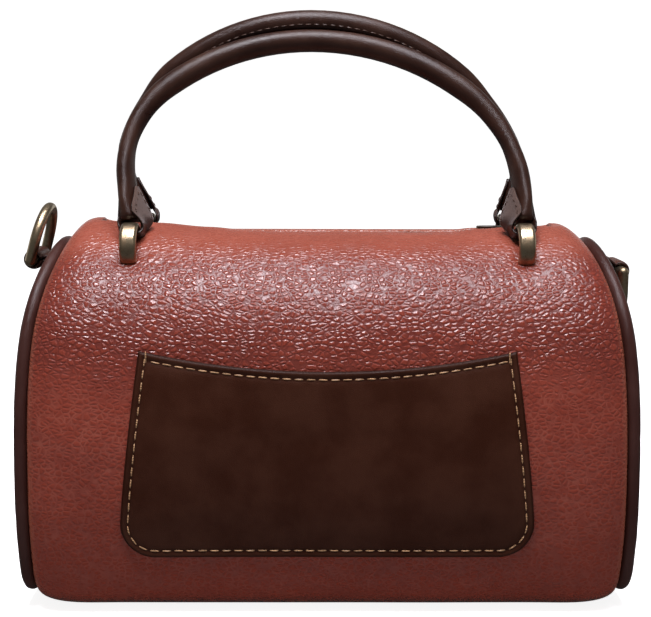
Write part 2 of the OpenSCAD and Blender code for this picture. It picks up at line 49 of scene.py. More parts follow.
scene = bpy.context.scene


# small helpers

def clamp(value, low, high):
    return max(low, min(high, value))


def mix(a, b, share):
    return a + (b - a)*share


def smoothStep(low, high, value):
    t = clamp((value - low)/(high - low), 0.0, 1.0)
    return t*t*(3 - 2*t)


def hump(value, centre, width):
    return math.exp(-((value - centre)/width)**2)


def spread(start, end, step):
    # evenly spaced values from start to end, about a step apart
    count = max(1, round(abs(end - start)/step))
    return [mix(start, end, i/count) for i in range(count + 1)]


def curveThrough(places, x):
    # height of a smooth curve through (x, height) pairs, level beyond its ends
    if x <= places[0][0]:
        return places[0][1]
    for (xa, ya), (xb, yb) in zip(places, places[1:]):
        if x <= xb:
            return mix(ya, yb, smoothStep(xa, xb, x))
    return places[-1][1]


def turnsRound(count):
    # evenly spaced angles round a full turn
    return [2*math.pi*k/count for k in range(count)]


def acrossStrip(steps):
    # shares from edge to edge of a strip, closer together at its edges
    return [math.sin((-1 + 2*j/(steps - 1))*math.pi/2) for j in range(steps)]


def sideName(side):
    return "left" if side < 0 else "right"


def frontName(front):
    return "front" if front else "rear"


def middleOf(node):
    low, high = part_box(node)
    return (low + high)/2


# camera

cameraSettings = {
    "place": (-0.0038, -0.560, 0.2017), "lookDown": 8.42, "turn": -0.323, "roll": 0.146,  # degrees
    "lens": 70.93, "sensor": 36.0,
}


def makeCamera():
    data = bpy.data.cameras.new("camera")
    data.lens = cameraSettings["lens"]
    data.sensor_width = cameraSettings["sensor"]
    camera = bpy.data.objects.new("camera", data)
    pitch = Matrix.Rotation(math.radians(90 - cameraSettings["lookDown"]), 4, "X")
    roll = Matrix.Rotation(math.radians(cameraSettings["roll"]), 4, "Z")
    turn = Matrix.Rotation(math.radians(cameraSettings["turn"]), 4, "Z")
    camera.matrix_world = Matrix.Translation(cameraSettings["place"]) @ turn @ pitch @ roll
    scene.collection.objects.link(camera)
    scene.camera = camera
    scene.view_settings.view_transform = "Standard"


makeCamera()
print("camera ready")


# nodes of the finishes

def newFinish(name, colour, roughness, specular=0.5, metallic=0.0):
    finish = bpy.data.materials.new(name)
    finish.use_nodes = True
    shader = finish.node_tree.nodes["Principled BSDF"]
    shader.inputs["Base Color"].default_value = (*colour, 1.0)
    shader.inputs["Roughness"].default_value = roughness
    shader.inputs["Specular IOR Level"].default_value = specular
    shader.inputs["Metallic"].default_value = metallic
    finish.diffuse_color = (*colour, 1.0)
    return finish


def shaderInput(finish, name):
    return finish.node_tree.nodes["Principled BSDF"].inputs[name]


def addNode(finish, kind, inputs=(), **settings):
    node = finish.node_tree.nodes.new(kind)
    for name, value in settings.items():
        setattr(node, name, value)
    for name, value in inputs:
        if isinstance(value, bpy.types.NodeSocket):
            finish.node_tree.links.new(value, node.inputs[name])
        else:
            node.inputs[name].default_value = value
    return node


def connect(finish, socket, name):
    finish.node_tree.links.new(socket, shaderInput(finish, name))


def placeOf(finish, stretch=(1.0, 1.0, 1.0), turn=(0.0, 0.0, 0.0)):
    # object coordinates, stretched and turned
    coordinates = addNode(finish, "ShaderNodeTexCoord")
    mapping = addNode(finish, "ShaderNodeMapping", [
        ("Vector", coordinates.outputs["Object"]), ("Rotation", turn), ("Scale", stretch)])
    return mapping.outputs["Vector"]


def noiseFrom(finish, place, size, detail=2.0, roughness=0.5):
    node = addNode(finish, "ShaderNodeTexNoise", [
        ("Vector", place), ("Scale", 1/size), ("Detail", detail), ("Roughness", roughness)])
    return node.outputs["Fac"]


def shake(finish, place, size, amount):
    # place moved a little by noise, so that cells and threads are never regular
    node = addNode(finish, "ShaderNodeTexNoise", [("Vector", place), ("Scale", 1/size), ("Detail", 1.0)])
    centred = addNode(finish, "ShaderNodeVectorMath", [
        (0, node.outputs["Color"]), (1, (0.5, 0.5, 0.5))], operation="SUBTRACT")
    move = addNode(finish, "ShaderNodeVectorMath", [
        (0, centred.outputs[0]), ("Scale", amount)], operation="SCALE")
    added = addNode(finish, "ShaderNodeVectorMath", [(0, place), (1, move.outputs[0])], operation="ADD")
    return added.outputs[0]


def cellEdges(finish, place, size):
    # distance to the nearest border between cells, in cell sizes
    node = addNode(finish, "ShaderNodeTexVoronoi", [("Vector", place), ("Scale", 1/size)],
                   feature="DISTANCE_TO_EDGE")
    return node.outputs["Distance"]


def remap(finish, value, low, high, toLow=0.0, toHigh=1.0, smooth=True):
    node = addNode(finish, "ShaderNodeMapRange", [
        ("Value", value), ("From Min", low), ("From Max", high), ("To Min", toLow), ("To Max", toHigh)],
        interpolation_type="SMOOTHSTEP" if smooth else "LINEAR")
    return node.outputs["Result"]


def calc(finish, operation, a, b):
    node = addNode(finish, "ShaderNodeMath", [(0, a), (1, b)], operation=operation)
    return node.outputs[0]


def blendColours(finish, share, first, second):
    node = addNode(finish, "ShaderNodeMix", data_type="RGBA")
    for socket, value in ((node.inputs[0], share), (node.inputs[6], first), (node.inputs[7], second)):
        if isinstance(value, bpy.types.NodeSocket):
            finish.node_tree.links.new(value, socket)
        elif isinstance(value, tuple):
            socket.default_value = (*value, 1.0)
        else:
            socket.default_value = value
    return node.outputs[2]


def attributeOf(finish, name):
    return addNode(finish, "ShaderNodeAttribute", attribute_name=name).outputs["Fac"]


def scaled(finish, value, factor):
    return calc(finish, "MULTIPLY", value, factor)


def relief(finish, height, depth):
    node = addNode(finish, "ShaderNodeBump", [("Height", height), ("Distance", depth)])
    connect(finish, node.outputs["Normal"], "Normal")


# finishes, colours are linear

pebbleLook = {
    # the deep colour is used for random darker patches and for painted crease shade on the shoulder
    "top": (0.198, 0.0355, 0.0205), "vein": (0.275, 0.068, 0.042), "deep": (0.110, 0.018, 0.012),
    # the crown colour is a paler colour painted on the top as painted light and sheen
    "worn": (0.36, 0.11, 0.06), "crown": (0.300, 0.085, 0.052), "low": (0.165, 0.0190, 0.0065),
    "cell": 1.9*mm, "along": 0.72, "fineCell": 0.8*mm, "swellSize": 9*mm, "depth": 0.30*mm,
    "pebbleShare": 0.80, "fineShare": 0.07, "swellShare": 1.6, "boldness": 0.5,
    "shoulderFoot": (86*mm, 118*mm), "shoulderTop": (152*mm, 141*mm),
    "creaseShadeShare": 0.85, "patchSize": 30*mm, "patchShare": 0.40,
    # the low colour, with its heights and share, is painted shade on the lower part of the bag
    "crownFade": (140*mm, 153*mm), "crownShare": 0.45, "lowShadeHeights": (75*mm, 10*mm), "lowShadeShare": 0.60,
    "gloss": 0.17, "grooveGloss": 0.30, "rubbedGloss": 0.10, "specular": 0.42,
}


def pebbledLeather():
    # rounded pebbles, stretched along the bag, with fine veins between them
    look = pebbleLook
    finish = newFinish("pebbled_rust_leather", look["top"], look["gloss"], look["specular"])
    place = placeOf(finish)
    up = addNode(finish, "ShaderNodeSeparateXYZ", [(0, place)]).outputs["Z"]
    # the grain is bold on the shoulder, and finer on the sides and the very top
    shoulder = calc(finish, "MULTIPLY", remap(finish, up, *look["shoulderFoot"]),
                    remap(finish, up, *look["shoulderTop"]))
    loose = shake(finish, placeOf(finish, (look["along"], 1.0, 1.0)), 7*mm, 1.5*mm)
    edges = cellEdges(finish, loose, look["cell"])
    fineEdges = cellEdges(finish, shake(finish, place, 3*mm, 0.6*mm), look["fineCell"])
    pebbles = remap(finish, edges, 0.0, 0.34)
    fine = remap(finish, fineEdges, 0.0, 0.3)
    swell = noiseFrom(finish, place, look["swellSize"], 4.0, 0.6)
    height = calc(finish, "ADD", scaled(finish, pebbles, look["pebbleShare"]),
                  scaled(finish, fine, look["fineShare"]))
    height = calc(finish, "ADD", height, scaled(finish, swell, look["swellShare"]))
    boldness = calc(finish, "ADD", scaled(finish, shoulder, 1 - look["boldness"]), look["boldness"])
    relief(finish, calc(finish, "MULTIPLY", height, boldness), look["depth"])
    connect(finish, pebbleColour(finish, place, up, shoulder, edges, fineEdges), "Base Color")
    gloss = remap(finish, pebbles, 0.0, 1.0, look["grooveGloss"], look["gloss"], smooth=False)
    rubbed = remap(finish, noiseFrom(finish, place, 6*mm, 3.0), 0.35, 0.7, 0.0, look["rubbedGloss"])
    connect(finish, calc(finish, "ADD", gloss, rubbed), "Roughness")
    return finish


def pebbleColour(finish, place, up, shoulder, edges, fineEdges):
    # broken veins, light on the sides; on the shoulder the veins and creases are darkened as painted shade
    look = pebbleLook
    veins = remap(finish, calc(finish, "MINIMUM", edges, calc(finish, "ADD", fineEdges, 0.06)), 0.0, 0.10)
    broken = remap(finish, noiseFrom(finish, place, 4*mm, 3.0), 0.38, 0.62)
    veins = calc(finish, "MAXIMUM", veins, broken)
    # painted shade: on the shoulder the veins take the deep colour
    veinAndShadeColour = blendColours(finish, shoulder, look["vein"], look["deep"])
    colour = blendColours(finish, veins, veinAndShadeColour, look["top"])
    # painted shade: the creases of the shoulder are darkened further
    creaseShade = calc(finish, "MULTIPLY", shoulder, remap(finish, edges, 0.0, 0.22, look["creaseShadeShare"], 0.0))
    colour = blendColours(finish, creaseShade, colour, look["deep"])
    patches = remap(finish, noiseFrom(finish, place, look["patchSize"], 4.0, 0.6), 0.38, 0.68)
    colour = blendColours(finish, scaled(finish, patches, look["patchShare"]), colour, look["deep"])
    # the crown is paler, as painted top light and sheen; the lower part is deeper in colour, as painted
    # shade
    crown = remap(finish, up, *look["crownFade"], 0.0, look["crownShare"])
    colour = blendColours(finish, crown, colour, look["crown"])
    # painted shade: the colour grows deeper towards the bottom
    low = remap(finish, up, *look["lowShadeHeights"], 0.0, look["lowShadeShare"])
    colour = blendColours(finish, low, colour, look["low"])
    return blendColours(finish, attributeOf(finish, "wear"), colour, look["worn"])


def smoothLeather(name, colour, lighter, roughness, specular):
    # calf leather with a faint grain, fine scratches and burnished edges
    finish = newFinish(name, colour, roughness, specular)
    place = placeOf(finish)
    grain = cellEdges(finish, shake(finish, place, 1.5*mm, 0.3*mm), 0.55*mm)
    pores = remap(finish, grain, 0.0, 0.25, 0.0, 0.6)
    clouds = noiseFrom(finish, place, 22*mm, 4.0, 0.6)
    hairs = remap(finish, noiseFrom(finish, placeOf(finish, (1.0, 1.0, 9.0)), 5*mm, 4.0, 0.7), 0.60, 0.74)
    height = calc(finish, "ADD", pores, scaled(finish, clouds, 0.8))
    relief(finish, calc(finish, "SUBTRACT", height, scaled(finish, hairs, 0.25)), 0.05*mm)
    shade = blendColours(finish, remap(finish, clouds, 0.32, 0.68), colour, lighter)
    burnished = tuple(c*0.45 for c in colour)
    connect(finish, blendColours(finish, attributeOf(finish, "edge"), shade, burnished), "Base Color")
    gloss = remap(finish, clouds, 0.3, 0.7, roughness - 0.05, roughness + 0.08, smooth=False)
    connect(finish, gloss, "Roughness")
    return finish


fleshLook = {
    "base": (0.11, 0.066, 0.049), "dark": (0.045, 0.024, 0.017), "light": (0.092, 0.052, 0.038),
    "stain": (0.042, 0.022, 0.016),
}


def fleshSide():
    # the suede-like back of the leather
    look = fleshLook
    finish = newFinish("leather_flesh_side", look["base"], 0.8, 0.2)
    place = placeOf(finish)
    fibres = noiseFrom(finish, placeOf(finish, (1.0, 1.0, 0.35)), 0.35*mm, 4.0, 0.7)
    patches = noiseFrom(finish, place, 4*mm, 3.0)
    colour = blendColours(finish, remap(finish, fibres, 0.3, 0.7), look["dark"], look["light"])
    colour = blendColours(finish, remap(finish, patches, 0.4, 0.7, 0.0, 0.5), colour, look["stain"])
    connect(finish, colour, "Base Color")
    relief(finish, fibres, 0.12*mm)
    shaderInput(finish, "Sheen Weight").default_value = 0.25
    return finish


def thread(name, colour):
    # two-ply waxed thread
    finish = newFinish(name, colour, 0.5, 0.4)
    place = placeOf(finish, turn=(0.0, 0.7, 0.0))
    plies = addNode(finish, "ShaderNodeTexWave", [
        ("Vector", place), ("Scale", 1/(2.4*mm)), ("Distortion", 1.5), ("Detail", 1.0)],
        wave_type="BANDS", bands_direction="DIAGONAL")
    # painted shade: the hollows between the plies are darker
    darker = tuple(c*0.5 for c in colour)
    connect(finish, blendColours(finish, plies.outputs["Fac"], darker, colour), "Base Color")
    relief(finish, plies.outputs["Fac"], 0.12*mm)
    return finish


brassSpeck = (0.13, 0.08, 0.04)


def agedBrass(name, bright, dull):
    # worn bright metal with a dull patina, small dark specks and fine scratches
    finish = newFinish(name, bright, 0.30, metallic=1.0)
    place = placeOf(finish)
    patina = remap(finish, noiseFrom(finish, place, 5*mm, 5.0, 0.65), 0.42, 0.72)
    specks = remap(finish, noiseFrom(finish, place, 0.8*mm, 3.0, 0.6), 0.55, 0.75)
    colour = blendColours(finish, patina, bright, dull)
    colour = blendColours(finish, scaled(finish, specks, 0.5), colour, brassSpeck)
    connect(finish, colour, "Base Color")
    gloss = remap(finish, patina, 0.0, 1.0, 0.28, 0.46)
    connect(finish, calc(finish, "ADD", gloss, scaled(finish, specks, 0.1)), "Roughness")
    scratches = noiseFrom(finish, placeOf(finish, (1.0, 6.0, 1.0)), 0.9*mm, 5.0, 0.7)
    relief(finish, scratches, 0.03*mm)
    return finish


def weave(name, colour, threadSize, depth):
    # plain weave: two crossing sets of waves
    finish = newFinish(name, colour, 0.85, 0.25)
    place = shake(finish, placeOf(finish), 3*mm, 0.12*mm)
    waves = [addNode(finish, "ShaderNodeTexWave", [("Vector", place), ("Scale", 0.314/threadSize)],
                     wave_type="BANDS", bands_direction=axis).outputs["Fac"] for axis in ("X", "Y", "Z")]
    crossed = calc(finish, "MULTIPLY", waves[0], calc(finish, "MAXIMUM", waves[1], waves[2]))
    worn = noiseFrom(finish, place, 12*mm, 4.0, 0.6)
    # painted shade: the threads are darker where they dip under each other
    darker = tuple(c*0.5 for c in colour)
    shade = blendColours(finish, remap(finish, crossed, 0.1, 0.7), darker, colour)
    shade = blendColours(finish, remap(finish, worn, 0.4, 0.7, 0.0, 0.35), shade, darker)
    connect(finish, shade, "Base Color")
    relief(finish, crossed, depth)
    shaderInput(finish, "Sheen Weight").default_value = 0.2
    return finish


boardLook = {
    "base": (0.16, 0.125, 0.095), "dark": (0.11, 0.085, 0.065), "light": (0.2, 0.16, 0.125),
    "fleck": (0.07, 0.05, 0.04),
}


def pressedBoard():
    # grey-brown board of pressed fibres
    look = boardLook
    finish = newFinish("pressed_board", look["base"], 0.9, 0.2)
    place = placeOf(finish)
    fibres = noiseFrom(finish, placeOf(finish, (1.0, 0.3, 0.3)), 0.6*mm, 5.0, 0.75)
    flecks = remap(finish, noiseFrom(finish, place, 2.5*mm, 2.0), 0.58, 0.68)
    colour = blendColours(finish, remap(finish, fibres, 0.3, 0.7), look["dark"], look["light"])
    colour = blendColours(finish, scaled(finish, flecks, 0.4), colour, look["fleck"])
    connect(finish, colour, "Base Color")
    relief(finish, fibres, 0.08*mm)
    return finish


finishes = {
    "pebbled": pebbledLeather(),
    "pocket": smoothLeather("pocket_leather", (0.029, 0.0078, 0.0034), (0.043, 0.0138, 0.0068), 0.40, 0.09),
    "handle": smoothLeather("handle_leather", (0.019, 0.0066, 0.0042), (0.037, 0.0150, 0.0092), 0.30, 0.28),
    "binding": smoothLeather("binding_leather", (0.034, 0.0105, 0.0080), (0.048, 0.017, 0.0130), 0.36, 0.24),
    "tab": smoothLeather("strap_tab_leather", (0.048, 0.016, 0.0105), (0.072, 0.027, 0.0180), 0.38, 0.30),
    "suede": fleshSide(),
    "tanThread": thread("tan_thread", (0.46, 0.26, 0.125)),
    "darkThread": thread("dark_thread", (0.080, 0.040, 0.027)),
    "brass": agedBrass("antique_brass", (0.48, 0.385, 0.255), (0.25, 0.180, 0.110)),
    "zipMetal": agedBrass("dark_zip_metal", (0.16, 0.11, 0.075), (0.07, 0.045, 0.03)),
    "cloth": weave("lining_cloth", (0.34, 0.245, 0.155), 0.7*mm, 0.1*mm),
    "tape": weave("zip_tape", (0.040, 0.016, 0.011), 0.6*mm, 0.12*mm),
    "cord": weave("core_cord", (0.32, 0.28, 0.22), 1.1*mm, 0.25*mm),
    "board": pressedBoard(),
}
print("finishes ready")


# meshes

def addPiece(name, points, faces, body, finish, replaced=(), values=None):
    mesh = bpy.data.meshes.new(name)
    mesh.from_pydata([tuple(p) for p in points], [], faces)
    mesh.validate()
    mesh.polygons.foreach_set("use_smooth", [True]*len(mesh.polygons))
    for attribute, numbers in (values or {}).items():
        layer = mesh.attributes.new(attribute, "FLOAT", "POINT")
        layer.data.foreach_set("value", numbers)
    mesh.update()
    piece = bpy.data.objects.new(name, mesh)
    scene.collection.objects.link(piece)
    mesh.materials.append(finishes[finish])
    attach(piece, body)
    if replaced:
        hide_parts(*replaced)
    return piece


def gridFaces(rowCount, columnCount, closedRows=False, closedColumns=False, keep=None):
    # faces between rows of points, which may close on themselves
    faces = []
    for i in range(rowCount if closedRows else rowCount - 1):
        for j in range(columnCount if closedColumns else columnCount - 1):
            if keep and not keep(i, j):
                continue
            row, nextRow = i*columnCount, (i + 1) % rowCount*columnCount
            nextColumn = (j + 1) % columnCount
            faces.append((row + j, row + nextColumn, nextRow + nextColumn, nextRow + j))
    return faces


def shell(outer, inner, faces):
    # closed skin of a sheet: its outer faces, its inner faces and walls along its free edges
    used = {}
    for face in faces:
        for a, b in zip(face, face[1:] + face[:1]):
            used[(a, b)] = True
    count = len(outer)
    walls = [(b, a, a + count, b + count) for a, b in used if (b, a) not in used]
    backs = [tuple(p + count for p in reversed(face)) for face in faces]
    return list(outer) + list(inner), list(faces) + backs + walls


def turnedOut(points, faces):
    # the same faces, turned so that the skin encloses a positive volume
    volume = 0.0
    for face in faces:
        for i in range(1, len(face) - 1):
            volume += points[face[0]].dot(points[face[i]].cross(points[face[i + 1]]))
    return faces if volume > 0 else [tuple(reversed(face)) for face in faces]


def addSheet(name, outer, inner, faces, body, finish, replaced=(), values=None):
    # a sheet from the points of both its sides
    points, faces = shell(outer, inner, faces)
    return addPiece(name, points, turnedOut(points, faces), body, finish, replaced, values)


def flatRows(rows):
    return [point for row in rows for point in row]


def tube(rings):
    # capped skin through closed rings of equal length
    points = flatRows(rings)
    count = len(rings[0])
    faces = gridFaces(len(rings), count, closedColumns=True)
    faces += [tuple(range(count - 1, -1, -1)), tuple(range(len(points) - count, len(points)))]
    return points, turnedOut(points, faces)


# form of the body, the same arcs as the solids

bodyForm = {
    "bellyHeight": 48*mm, "sideTaper": 6*mm, "lowerRadius": 124*mm, "cornerRadius": 21*mm,
    "wall": 2.4*mm, "topLean": 14*mm, "topLeanPower": 4, "bottomLean": 1*mm, "bottomLeanPower": 2,
    "rimLength": 12*mm, "rimDrop": 7*mm, "rimPower": 2.6, "bindingRadius": 2.8*mm, "gap": 0.15*mm,
}
# heights of the crest along the bag, where the soft top sags between its ends
crestHeights = [
    (-110*mm, 157.2*mm), (-103*mm, 158.5*mm), (-76*mm, 157.9*mm), (-52*mm, 156.2*mm), (-38*mm, 155.1*mm),
    (0*mm, 154.4*mm), (36*mm, 153.9*mm), (52*mm, 154.4*mm), (66*mm, 156.1*mm), (78*mm, 157.0*mm),
    (92*mm, 156.8*mm), (100*mm, 156.3*mm), (109*mm, 155.4*mm)]

bodyLow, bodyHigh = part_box("body_wrap")
bodyHeight = bodyHigh.z
bodyDepth = bodyHigh.y - bodyLow.y
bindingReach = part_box("binding_right")[1].x
halfLength = bindingReach - bodyForm["bindingRadius"]

topRadius = bodyDepth/2 - bodyForm["sideTaper"]
topCentre = Vector((0.0, bodyHeight - topRadius))
aboveBelly = topCentre.y - bodyForm["bellyHeight"]
sideAngle = 2*math.atan2(bodyForm["sideTaper"], aboveBelly)
sideRadius = topRadius + aboveBelly/math.sin(sideAngle)
underBelly = bodyForm["bellyHeight"] - bodyForm["cornerRadius"]
lowerAngle = math.asin(underBelly/(bodyForm["lowerRadius"] - bodyForm["cornerRadius"]))


def outward(angle):
    return Vector((-math.cos(angle), math.sin(angle)))


sideCentre = topCentre - (sideRadius - topRadius)*outward(sideAngle)
lowerCentre = Vector((bodyForm["lowerRadius"] - bodyDepth/2, bodyForm["bellyHeight"]))
cornerCentre = lowerCentre + (bodyForm["lowerRadius"] - bodyForm["cornerRadius"])*outward(-lowerAngle)
arcs = [
    (math.pi/2, sideAngle, topCentre, topRadius),
    (sideAngle, 0.0, sideCentre, sideRadius),
    (0.0, -lowerAngle, lowerCentre, bodyForm["lowerRadius"]),
    (-lowerAngle, -math.pi/2, cornerCentre, bodyForm["cornerRadius"]),
]
curvedLength = sum(radius*(high - low) for high, low, centre, radius in arcs)
halfLoop = curvedLength + abs(cornerCentre.x)


def outlineAt(around, inset=0.0):
    # y, z and normal angle at a distance round the outline from the middle of the top, + to the front
    left = abs(around)
    y, z, angle = cornerCentre.x + left - curvedLength, inset, -math.pi/2
    for highAngle, lowAngle, centre, radius in arcs:
        span = radius*(highAngle - lowAngle)
        if left <= span:
            angle = highAngle - left/radius
            place = centre + (radius - inset)*outward(angle)
            y, z = place.x, place.y
            break
        left -= span
    else:
        y = cornerCentre.x + left
    if around < 0:
        y, angle = -y, math.pi - angle
    return y, z, angle


def aroundAt(height):
    # distance round the outline, down the front, of a height above the bottom
    low, high = 0.0, curvedLength
    for _ in range(40):
        middle = (low + high)/2
        if outlineAt(middle)[1] > height:
            low = middle
        else:
            high = middle
    return (low + high)/2


def endX(z):
    # distance of the end panel's middle from the bag's middle; the ends lean in towards the top
    z = clamp(z, 0.0, bodyHeight)
    belly = bodyForm["bellyHeight"]
    if z > belly:
        return halfLength - bodyForm["topLean"]*((z - belly)/(bodyHeight - belly))**bodyForm["topLeanPower"]
    return halfLength - bodyForm["bottomLean"]*((belly - z)/belly)**bodyForm["bottomLeanPower"]


rimStart = endX(bodyHeight) - bodyForm["rimLength"]
rimBack = bodyForm["bindingRadius"] + bodyForm["gap"]
seamInset = bodyForm["rimDrop"] + bodyForm["wall"]/2


def rimInset(share):
    # how far the rounded rim has turned in, by the share of its length
    power = bodyForm["rimPower"]
    return bodyForm["rimDrop"]*(1 - (1 - share**power)**(1/power))


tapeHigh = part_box("zip_tape_front")[1]
slotHalfWidth = 8.0*mm
slotHalfLength = tapeHigh.x
slotAround = topRadius*math.asin(slotHalfWidth/topRadius)
ringFrontLeft = middleOf("handle_ring_front_left")
ringHalfSpan = abs(ringFrontLeft.x)
ringDepth = abs(ringFrontLeft.y)
ringHeight = ringFrontLeft.z
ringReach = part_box("handle_ring_front_left")[1].z - ringHeight
ringAround = topRadius*math.asin(ringDepth/topRadius)

softness = {
    "swell": 0.75*mm, "swellSize": 52*mm, "baseFade": 30*mm, "rimPadding": 0.5*mm, "rimReach": 9*mm,
    "dimple": 1.0*mm, "dimpleSize": 6*mm, "dimpleBeside": 9*mm, "crestFrom": 48, "crestTo": 84,
}


def pushAt(x, around):
    # how far the soft wall stands out from the plain form
    look = softness
    aboveBase = smoothStep(curvedLength, curvedLength - look["baseFade"], abs(around))
    place = Vector((x, around, 0.0))/look["swellSize"]
    push = look["swell"]*noise.noise(place)*aboveBase
    push += look["rimPadding"]*hump(abs(x), rimStart, look["rimReach"])*aboveBase
    for foot in (-1, 1):
        away = math.hypot(abs(x) - ringHalfSpan, abs(around) - ringAround - foot*look["dimpleBeside"])
        push -= look["dimple"]*hump(away, 0.0, look["dimpleSize"])
    return push


def skin(x, around, inset=0.0):
    # point of the soft body; past the rim's start, x counts on for one rim length to the leather's end
    share = clamp((abs(x) - rimStart)/bodyForm["rimLength"], 0.0, 1.0)
    y, z, angle = outlineAt(around, inset + rimInset(share) - pushAt(x, around))
    if share > 0:
        x = math.copysign(rimStart + (endX(z) - rimBack - rimStart)*share, x)
    steep = math.degrees(min(angle, math.pi - angle))
    onTop = smoothStep(softness["crestFrom"], softness["crestTo"], steep)
    z += (curveThrough(crestHeights, x) - bodyHeight)*onTop
    return Vector((x, y, z))


def skinNormal(around):
    return Vector((0.0, *outward(outlineAt(around)[2])))


def rimColumns(step, rimSteps=12):
    # columns of the whole length, closer together on the rounded rims
    rim = [rimStart + bodyForm["rimLength"]*math.sin(math.pi/2*i/rimSteps) for i in range(1, rimSteps + 1)]
    flat = spread(slotHalfLength, -slotHalfLength, step)
    return [-x for x in reversed(rim)] + [-rimStart] + list(reversed(flat)) + [rimStart] + rim


def loopRows(step, cutAround, lip):
    # rows round the body from the bottom's middle up the back, over the top and down the front
    half = [cutAround + d for d in lip] + spread(cutAround + lip[-1] + step, halfLoop, step)
    return [-a for a in reversed(half)] + [-cutAround/2, 0.0, cutAround/2] + half


wrapLook = {
    "step": 1.6*mm, "lip": [0.0, 0.35*mm, 0.9*mm, 1.7*mm, 2.8*mm],
    "lipReach": 1.7*mm, "lipRounding": 0.55*mm,
    "lipThickness": 1.0*mm, "rearLipDrop": 1.3*mm, "rearLipReach": 7*mm, "lipEnds": (4*mm, -3*mm),
    "tapeSides": (17*mm, 13.5*mm), "tapeEnds": (3.5*mm, 0.5*mm),
    "rimWear": (10.5*mm, 12*mm), "rimWorn": 0.55, "lipWorn": 0.35, "lipWornWidth": 1.2*mm,
}


def besideSlot(x, ends):
    # 1 along the slot and 0 past it, between two distances from its end
    return smoothStep(slotHalfLength + ends[0], slotHalfLength + ends[1], abs(x))


def wrapPoint(x, around):
    # outer point, inner point and wear; the leather rounds off at its lips and stays above the tapes
    look = wrapLook
    point = skin(x, around)
    back = skin(x, around, bodyForm["wall"])
    atLip = besideSlot(x, look["lipEnds"])
    fromSlot = abs(around) - slotAround
    if around < 0:
        point.z -= look["rearLipDrop"]*atLip*hump(fromSlot, 0.0, look["rearLipReach"])
    if point.z > bodyHeight/2:
        roof = tapeHigh.z + bodyForm["gap"]
        overTape = smoothStep(*look["tapeSides"], abs(point.y))*besideSlot(x, look["tapeEnds"])
        back.z = mix(back.z, max(back.z, roof), overTape)
        point.z = mix(point.z, max(point.z, roof + look["lipThickness"]), overTape)
    if fromSlot >= 0:
        rounding = clamp(1 - fromSlot/look["lipReach"], 0.0, 1.0)
        point.z -= look["lipRounding"]*atLip*(1 - math.sqrt(1 - rounding**2))
    atRim = smoothStep(*(rimStart + reach for reach in look["rimWear"]), abs(x))
    wear = look["rimWorn"]*atRim + look["lipWorn"]*atLip*hump(fromSlot, 0.0, look["lipWornWidth"])
    return point, back, wear


def makeBodyWrap():
    columns = rimColumns(wrapLook["step"])
    rows = loopRows(wrapLook["step"], slotAround, wrapLook["lip"])
    outer, inner, wear = zip(*(wrapPoint(x, around) for around in rows for x in columns))

    def keep(i, j):
        middleX = (columns[j] + columns[j + 1])/2
        middleAround = (rows[i] + rows[i + 1])/2
        return abs(middleAround) > slotAround or abs(middleX) > slotHalfLength

    points, faces = bodyLayer(outer, inner, rows, columns, keep)
    addPiece("leather_body", points, faces, "bag", "pebbled", ["body_wrap"],
             {"wear": wear*2})


def bodyLayer(outer, inner, rows, columns, keep):
    # the first and last rows meet under the bag, so the loop closes on its first row
    points, faces = shell(outer, inner, gridFaces(len(rows), len(columns), keep=keep))
    points, faces = joinSeam(points, faces, len(rows), len(columns))
    return points, turnedOut(points, faces)


def joinSeam(points, faces, rowCount, columnCount):
    # the last row's points become the first row's, on the outer and on the inner skin
    swap = {}
    for half in (0, rowCount*columnCount):
        for j in range(columnCount):
            swap[half + (rowCount - 1)*columnCount + j] = half + j
    kept = []
    for face in faces:
        joined = tuple(swap.get(p, p) for p in face)
        isWall = len({p % (rowCount*columnCount) for p in joined}) == 2
        if isWall and all(p % (rowCount*columnCount) < columnCount for p in joined):
            continue
        kept.append(joined)
    return points, kept


liningLook = {"gap": 0.1*mm, "thickness": 0.7*mm, "slotHalfWidth": 13.2*mm, "step": 3*mm, "endGap": 1.6*mm}


def makeLining():
    # cloth that hangs inside the leather, open along the zip
    look = liningLook
    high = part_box("lining")[1]
    inset = bodyForm["wall"] + bodyForm["gap"] + look["gap"]
    cut = topRadius*math.asin(look["slotHalfWidth"]/topRadius)
    columns = [x*high.x/(rimStart + bodyForm["rimLength"]) for x in rimColumns(look["step"])]
    half = spread(cut, halfLoop, look["step"])
    rows = [-a for a in reversed(half)] + half
    outer, inner = [], []
    for around in rows:
        for x in columns:
            share = clamp((abs(x) - rimStart)/bodyForm["rimLength"], 0.0, 1.0)
            shift = Vector((math.copysign(look["endGap"]*share, x), 0.0, 0.0))
            outer.append(skin(x, around, inset) - shift)
            inner.append(skin(x, around, inset + look["thickness"]) - shift)
    middle = len(half) - 1

    def keep(i, j):
        return i != middle or abs((columns[j] + columns[j + 1])/2) > slotHalfLength

    points, faces = bodyLayer(outer, inner, rows, columns, keep)
    addPiece("cloth_lining", points, faces, "bag", "cloth", ["lining"])


# end panels and bindings

panelLook = {
    "thickness": 2.2*mm, "bulge": 0.1*mm, "unevenness": 0.1*mm, "unevenSize": 30*mm, "underBinding": 0.9,
    "middleHeight": 0.46, "worn": 0.25, "wornFrom": 0.93, "rings": 30, "step": 2.2*mm,
}


def outlineLoop(inset, step):
    # places round the whole outline at an inset
    return [outlineAt(around, inset)[:2] for around in spread(halfLoop, -halfLoop, step)[:-1]]


